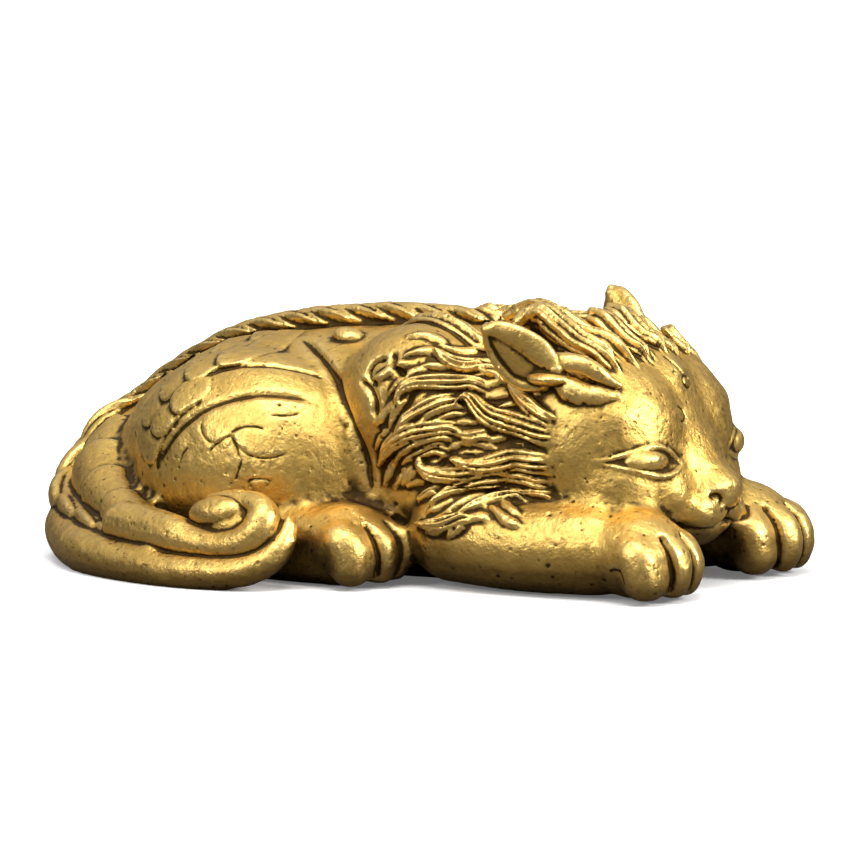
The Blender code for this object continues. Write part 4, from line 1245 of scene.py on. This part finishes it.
def mix(tree, factor, first, second):
    """Mixes two colours. Each of the three may be a socket or a plain value."""
    made = tree.nodes.new("ShaderNodeMix")
    made.data_type = "RGBA"
    for socket, value in zip((made.inputs[0], made.inputs[6], made.inputs[7]), (factor, first, second)):
        if isinstance(value, bpy.types.NodeSocket):
            tree.links.new(value, socket)
        elif isinstance(value, tuple):
            socket.default_value = (*value, 1)
        else:
            socket.default_value = value
    return made.outputs[2]


def maths(tree, operation, first, second):
    made = tree.nodes.new("ShaderNodeMath")
    made.operation = operation
    for socket, value in zip(made.inputs, (first, second)):
        if isinstance(value, bpy.types.NodeSocket):
            tree.links.new(value, socket)
        else:
            socket.default_value = value
    return made.outputs[0]


def noise(tree, place, scale, detail, rough):
    made = node(tree, "ShaderNodeTexNoise", Scale=scale, Detail=detail, Roughness=rough)
    tree.links.new(place, made.inputs["Vector"])
    return made.outputs["Fac"]


# %% [markdown]
# ## Old brass: where the patina and the painted shade lie
# Brown patina sits in creases and folds, and it is broken up by fine specks. Places where other parts or the
# table stand close get painted shade in the same brown, because their low-light measure is added to the
# patina's. It could be painted by hand, but the measures of the relief say where it belongs, also on hidden
# sides.

# %% Patina and pores
brass = bpy.data.materials.new("old_brass")
brass.use_nodes = True
tree = brass.node_tree
shader = tree.nodes["Principled BSDF"]
place = tree.nodes.new("ShaderNodeTexCoord").outputs["Object"]

cloud = noise(tree, place, 55, 5, 0.65)
speck = noise(tree, place, 900, 3, 0.6)
grain = noise(tree, place, 2600, 2, 0.5)

hollow = measure(tree, "hollow")
proud = measure(tree, "proud")
shelter_seen = measure(tree, "shelter")
low_light = ramp(tree, shelter_seen, (0.14, 0.0), (0.60, 1.0))
# Painted shade: the low-light measure is added to the hollows, so sheltered places turn brown as well.
hollow = maths(tree, "ADD", hollow, maths(tree, "MULTIPLY", low_light, 0.35))
patchy = maths(tree, "ADD", hollow, maths(tree, "MULTIPLY", maths(tree, "SUBTRACT", speck, 0.5), 0.35))
patina_and_shade = ramp(tree, patchy, (0.25, 0.0), (0.80, 1.0))

pores = node(tree, "ShaderNodeTexVoronoi", Scale=700, Randomness=1.0)
tree.links.new(place, pores.inputs["Vector"])
pore = ramp(tree, pores.outputs["Distance"], (0.12, 1.0), (0.30, 0.0))
where = ramp(tree, noise(tree, place, 160, 3, 0.6), (0.52, 0.0), (0.66, 1.0))
pore = maths(tree, "MULTIPLY", pore, where)

# %% [markdown]
# ## Old brass: its colours
# The metal isn't one colour. Slow clouds run from dull to pale brass, crests are rubbed bright, and hollow
# places go brown with patina. Places where other parts or the table stand close get painted shade, darker
# and browner. Each layer is mixed over the one before, and dark flecks and pores come last.

# %% Colours
dull, brass_tone, pale = (0.58, 0.35, 0.08), (0.70, 0.455, 0.115), (0.82, 0.55, 0.155)
# bright is for rubbed crests. The colour after it is painted shade for places where other parts or the table
# stand close.
bright, painted_shade = (0.92, 0.665, 0.25), (0.22, 0.13, 0.035)
brown, dark_pore, dark_fleck = (0.032, 0.016, 0.005), (0.05, 0.03, 0.012), (0.09, 0.05, 0.018)

tone = ramp(tree, cloud, (0.30, dull), (0.52, brass_tone), (0.72, pale))
rubbed = mix(tree, maths(tree, "MULTIPLY", proud, 0.6), tone, bright)
# Painted shade: where other parts or the table stand close, the colour is darkened towards a dull brown.
rubbed = mix(tree, maths(tree, "MULTIPLY", low_light, 0.75), rubbed, painted_shade)
aged_and_shaded = mix(tree, maths(tree, "MULTIPLY", patina_and_shade, 0.95), rubbed, brown)
aged_and_shaded = mix(tree, maths(tree, "MULTIPLY", pore, 0.8), aged_and_shaded, dark_pore)
fleck = ramp(tree, noise(tree, place, 1500, 2, 0.5), (0.62, 0.0), (0.72, 1.0))
fleck = maths(tree, "MULTIPLY", fleck, ramp(tree, cloud, (0.40, 1.0), (0.62, 0.25)))
aged_and_shaded = mix(tree, maths(tree, "MULTIPLY", fleck, 0.65), aged_and_shaded, dark_fleck)
tree.links.new(aged_and_shaded, shader.inputs["Base Color"])

# %% [markdown]
# ## Old brass: its polish
# Handled brass shines softly. Rubbed crests are smoother and patina is duller, so roughness follows the
# same measures. The finest grain is only a bump, because as real relief it would need too many triangles.

# %% Polish and grain
rough = ramp(tree, speck, (0.3, 0.37), (0.7, 0.52))
rough = maths(tree, "ADD", rough, maths(tree, "MULTIPLY", patina_and_shade, 0.08))
rough = maths(tree, "SUBTRACT", rough, maths(tree, "MULTIPLY", proud, 0.06))
tree.links.new(rough, shader.inputs["Roughness"])
tree.links.new(maths(tree, "SUBTRACT", 1.0, maths(tree, "MULTIPLY", patina_and_shade, 0.05)), shader.inputs["Metallic"])

height = maths(tree, "ADD", maths(tree, "MULTIPLY", speck, 0.00012), maths(tree, "MULTIPLY", grain, 0.00003))
height = maths(tree, "ADD", height, maths(tree, "MULTIPLY", noise(tree, place, 300, 4, 0.6), 0.0003))
height = maths(tree, "SUBTRACT", height, maths(tree, "MULTIPLY", pore, 0.0001))
bump = node(tree, "ShaderNodeBump", Strength=1.0, Distance=1.0)
tree.links.new(height, bump.inputs["Height"])
tree.links.new(bump.outputs["Normal"], shader.inputs["Normal"])
mesh.materials.append(brass)
print("the brass is made with", len(tree.nodes), "nodes")

# %% [markdown]
# ## Fixing the casting to the model
# The whole beast is one casting, so it rides on the one body and takes the place of the one solid.

# %% Fix the casting
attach(beast, "root")
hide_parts("qilin")
print(beast.name, "takes the place of qilin")

# %% [markdown]
# ## The table
# The casting stands on a white table with soft shadows. A white floor would throw too much light up into
# the brass, so the camera sees a brighter floor than the brass does: Light Path tells the two apart. The
# table also glows more with distance, so that no horizon shows.

# %% Table
# How far the table reaches, the light it throws up into the brass, and the white that the camera sees.
REACH = 60.0
thrown, shown = (0.16, 0.15, 0.135), (0.9, 0.9, 0.9)

floor_mesh = bpy.data.meshes.new("floor")
corners = [(-REACH, -REACH, 0), (REACH, -REACH, 0), (REACH, REACH, 0), (-REACH, REACH, 0)]
floor_mesh.from_pydata(corners, [], [(0, 1, 2, 3)])
floor = bpy.data.objects.new("floor", floor_mesh)
bpy.context.scene.collection.objects.link(floor)
floor.location.z = low.z

paper = bpy.data.materials.new("pale_floor")
paper.use_nodes = True
floor_tree = paper.node_tree
sheet = floor_tree.nodes["Principled BSDF"]
sheet.inputs["Roughness"].default_value = 0.9
sheet.inputs["Specular IOR Level"].default_value = 0.0
rays = floor_tree.nodes.new("ShaderNodeLightPath")
seen = rays.outputs["Is Camera Ray"]
floor_tree.links.new(mix(floor_tree, seen, thrown, shown), sheet.inputs["Base Color"])
spot = floor_tree.nodes.new("ShaderNodeTexCoord").outputs["Object"]
away = floor_tree.nodes.new("ShaderNodeVectorMath")
away.operation = "LENGTH"
floor_tree.links.new(spot, away.inputs[0])
glow = ramp(floor_tree, away.outputs["Value"], (0.04, 0.12), (0.16, 0.5), (0.5, 1.0))
sheet.inputs["Emission Color"].default_value = (1, 1, 1, 1)
floor_tree.links.new(maths(floor_tree, "MULTIPLY", glow, seen), sheet.inputs["Emission Strength"])
floor_mesh.materials.append(paper)
print("the table reaches", REACH, "m each way")

# %% [markdown]
# ## The camera
# A long lens from some way off keeps the nose from looking large. It stands round to the right flank and
# only a little above the table, and it looks at the middle of the beast.

# %% Camera
AZIMUTH, ELEVATION = math.radians(30), math.radians(6)

# How far off the camera is and what it sees from side to side there, in metres. Its sensor is in millimetres.
DISTANCE, FRAME_WIDTH = 0.650, 0.12765
SENSOR = 36

aim = Vector((0, 0, 0.021))
ahead = Vector((math.sin(AZIMUTH), -math.cos(AZIMUTH), 0))
back = ahead * math.cos(ELEVATION) + Vector((0, 0, math.sin(ELEVATION)))
camera = bpy.data.objects.new("camera", bpy.data.cameras.new("camera"))
bpy.context.scene.collection.objects.link(camera)
camera.location = aim + back * DISTANCE
camera.rotation_euler = (-back).to_track_quat("-Z", "Y").to_euler()
camera.data.sensor_width = SENSOR
camera.data.lens = SENSOR * DISTANCE / FRAME_WIDTH
camera.data.clip_start = 0.01
camera.data.clip_end = 200
bpy.context.scene.camera = camera
print("the lens is", round(camera.data.lens), "mm long")

# %% [markdown]
# ## The lights
# Polished metal shows its surroundings more than its own colour. A spot lamp would leave a few hard glints,
# so the lights are large soft boxes, which make broad highlights: one above, a weak one at the left and a
# strong one at the right.

# %% Lights
def softbox(name, place, size, power):
    """A white rectangle of light at a place as seen from the beast, turned to face it."""
    data = bpy.data.lights.new(name, "AREA")
    data.shape = "RECTANGLE"
    data.size, data.size_y = size
    data.energy = power
    made = bpy.data.objects.new(name, data)
    bpy.context.scene.collection.objects.link(made)
    made.location = aim + Vector(place)
    made.rotation_euler = (-Vector(place)).to_track_quat("-Z", "Y").to_euler()


across = Vector((math.cos(AZIMUTH), math.sin(AZIMUTH), 0))
above = Vector((0, 0, 1))
softbox("top", above * 0.60 - across * 0.04 + back * 0.26, (0.42, 0.30), 3.2)
softbox("left", back * 0.42 - across * 0.5 + above * 0.30, (0.20, 0.26), 1.4)
softbox("right", back * 0.34 + across * 0.58 + above * 0.30, (0.26, 0.26), 4.6)

# %% [markdown]
# ## The room
# Between the soft boxes the brass shows the room. It fades from a dark floor to a bright ceiling, which
# gives every rounded form a dark lower edge. An image of a real room would do the same with more clutter.
# The camera sees plain white instead.

# %% Room
# How bright the room is at each height, from the floor to the ceiling.
WALLS = ((0.0, 0.03), (0.5, 0.07), (0.62, 0.26), (0.82, 0.85), (1.0, 0.95))

world = bpy.data.worlds.new("studio")
bpy.context.scene.world = world
world.use_nodes = True
room_tree = world.node_tree
room = room_tree.nodes["Background"]
upward = room_tree.nodes.new("ShaderNodeSeparateXYZ")
room_tree.links.new(room_tree.nodes.new("ShaderNodeTexCoord").outputs["Generated"], upward.inputs[0])
height = maths(room_tree, "ADD", maths(room_tree, "MULTIPLY", upward.outputs[2], 0.5), 0.5)
walls = ramp(room_tree, height, *WALLS)
room_tree.links.new(walls, room.inputs["Color"])
room.inputs["Strength"].default_value = 0.8
white = node(room_tree, "ShaderNodeBackground", Color=(1, 1, 1, 1), Strength=1.0)
blend = room_tree.nodes.new("ShaderNodeMixShader")
room_tree.links.new(room_tree.nodes.new("ShaderNodeLightPath").outputs["Is Camera Ray"], blend.inputs[0])
room_tree.links.new(room.outputs[0], blend.inputs[1])
room_tree.links.new(white.outputs[0], blend.inputs[2])
room_tree.links.new(blend.outputs[0], room_tree.nodes["World Output"].inputs["Surface"])
bpy.context.scene.view_settings.view_transform = "Standard"
print("the room fades through", len(WALLS), "greys")
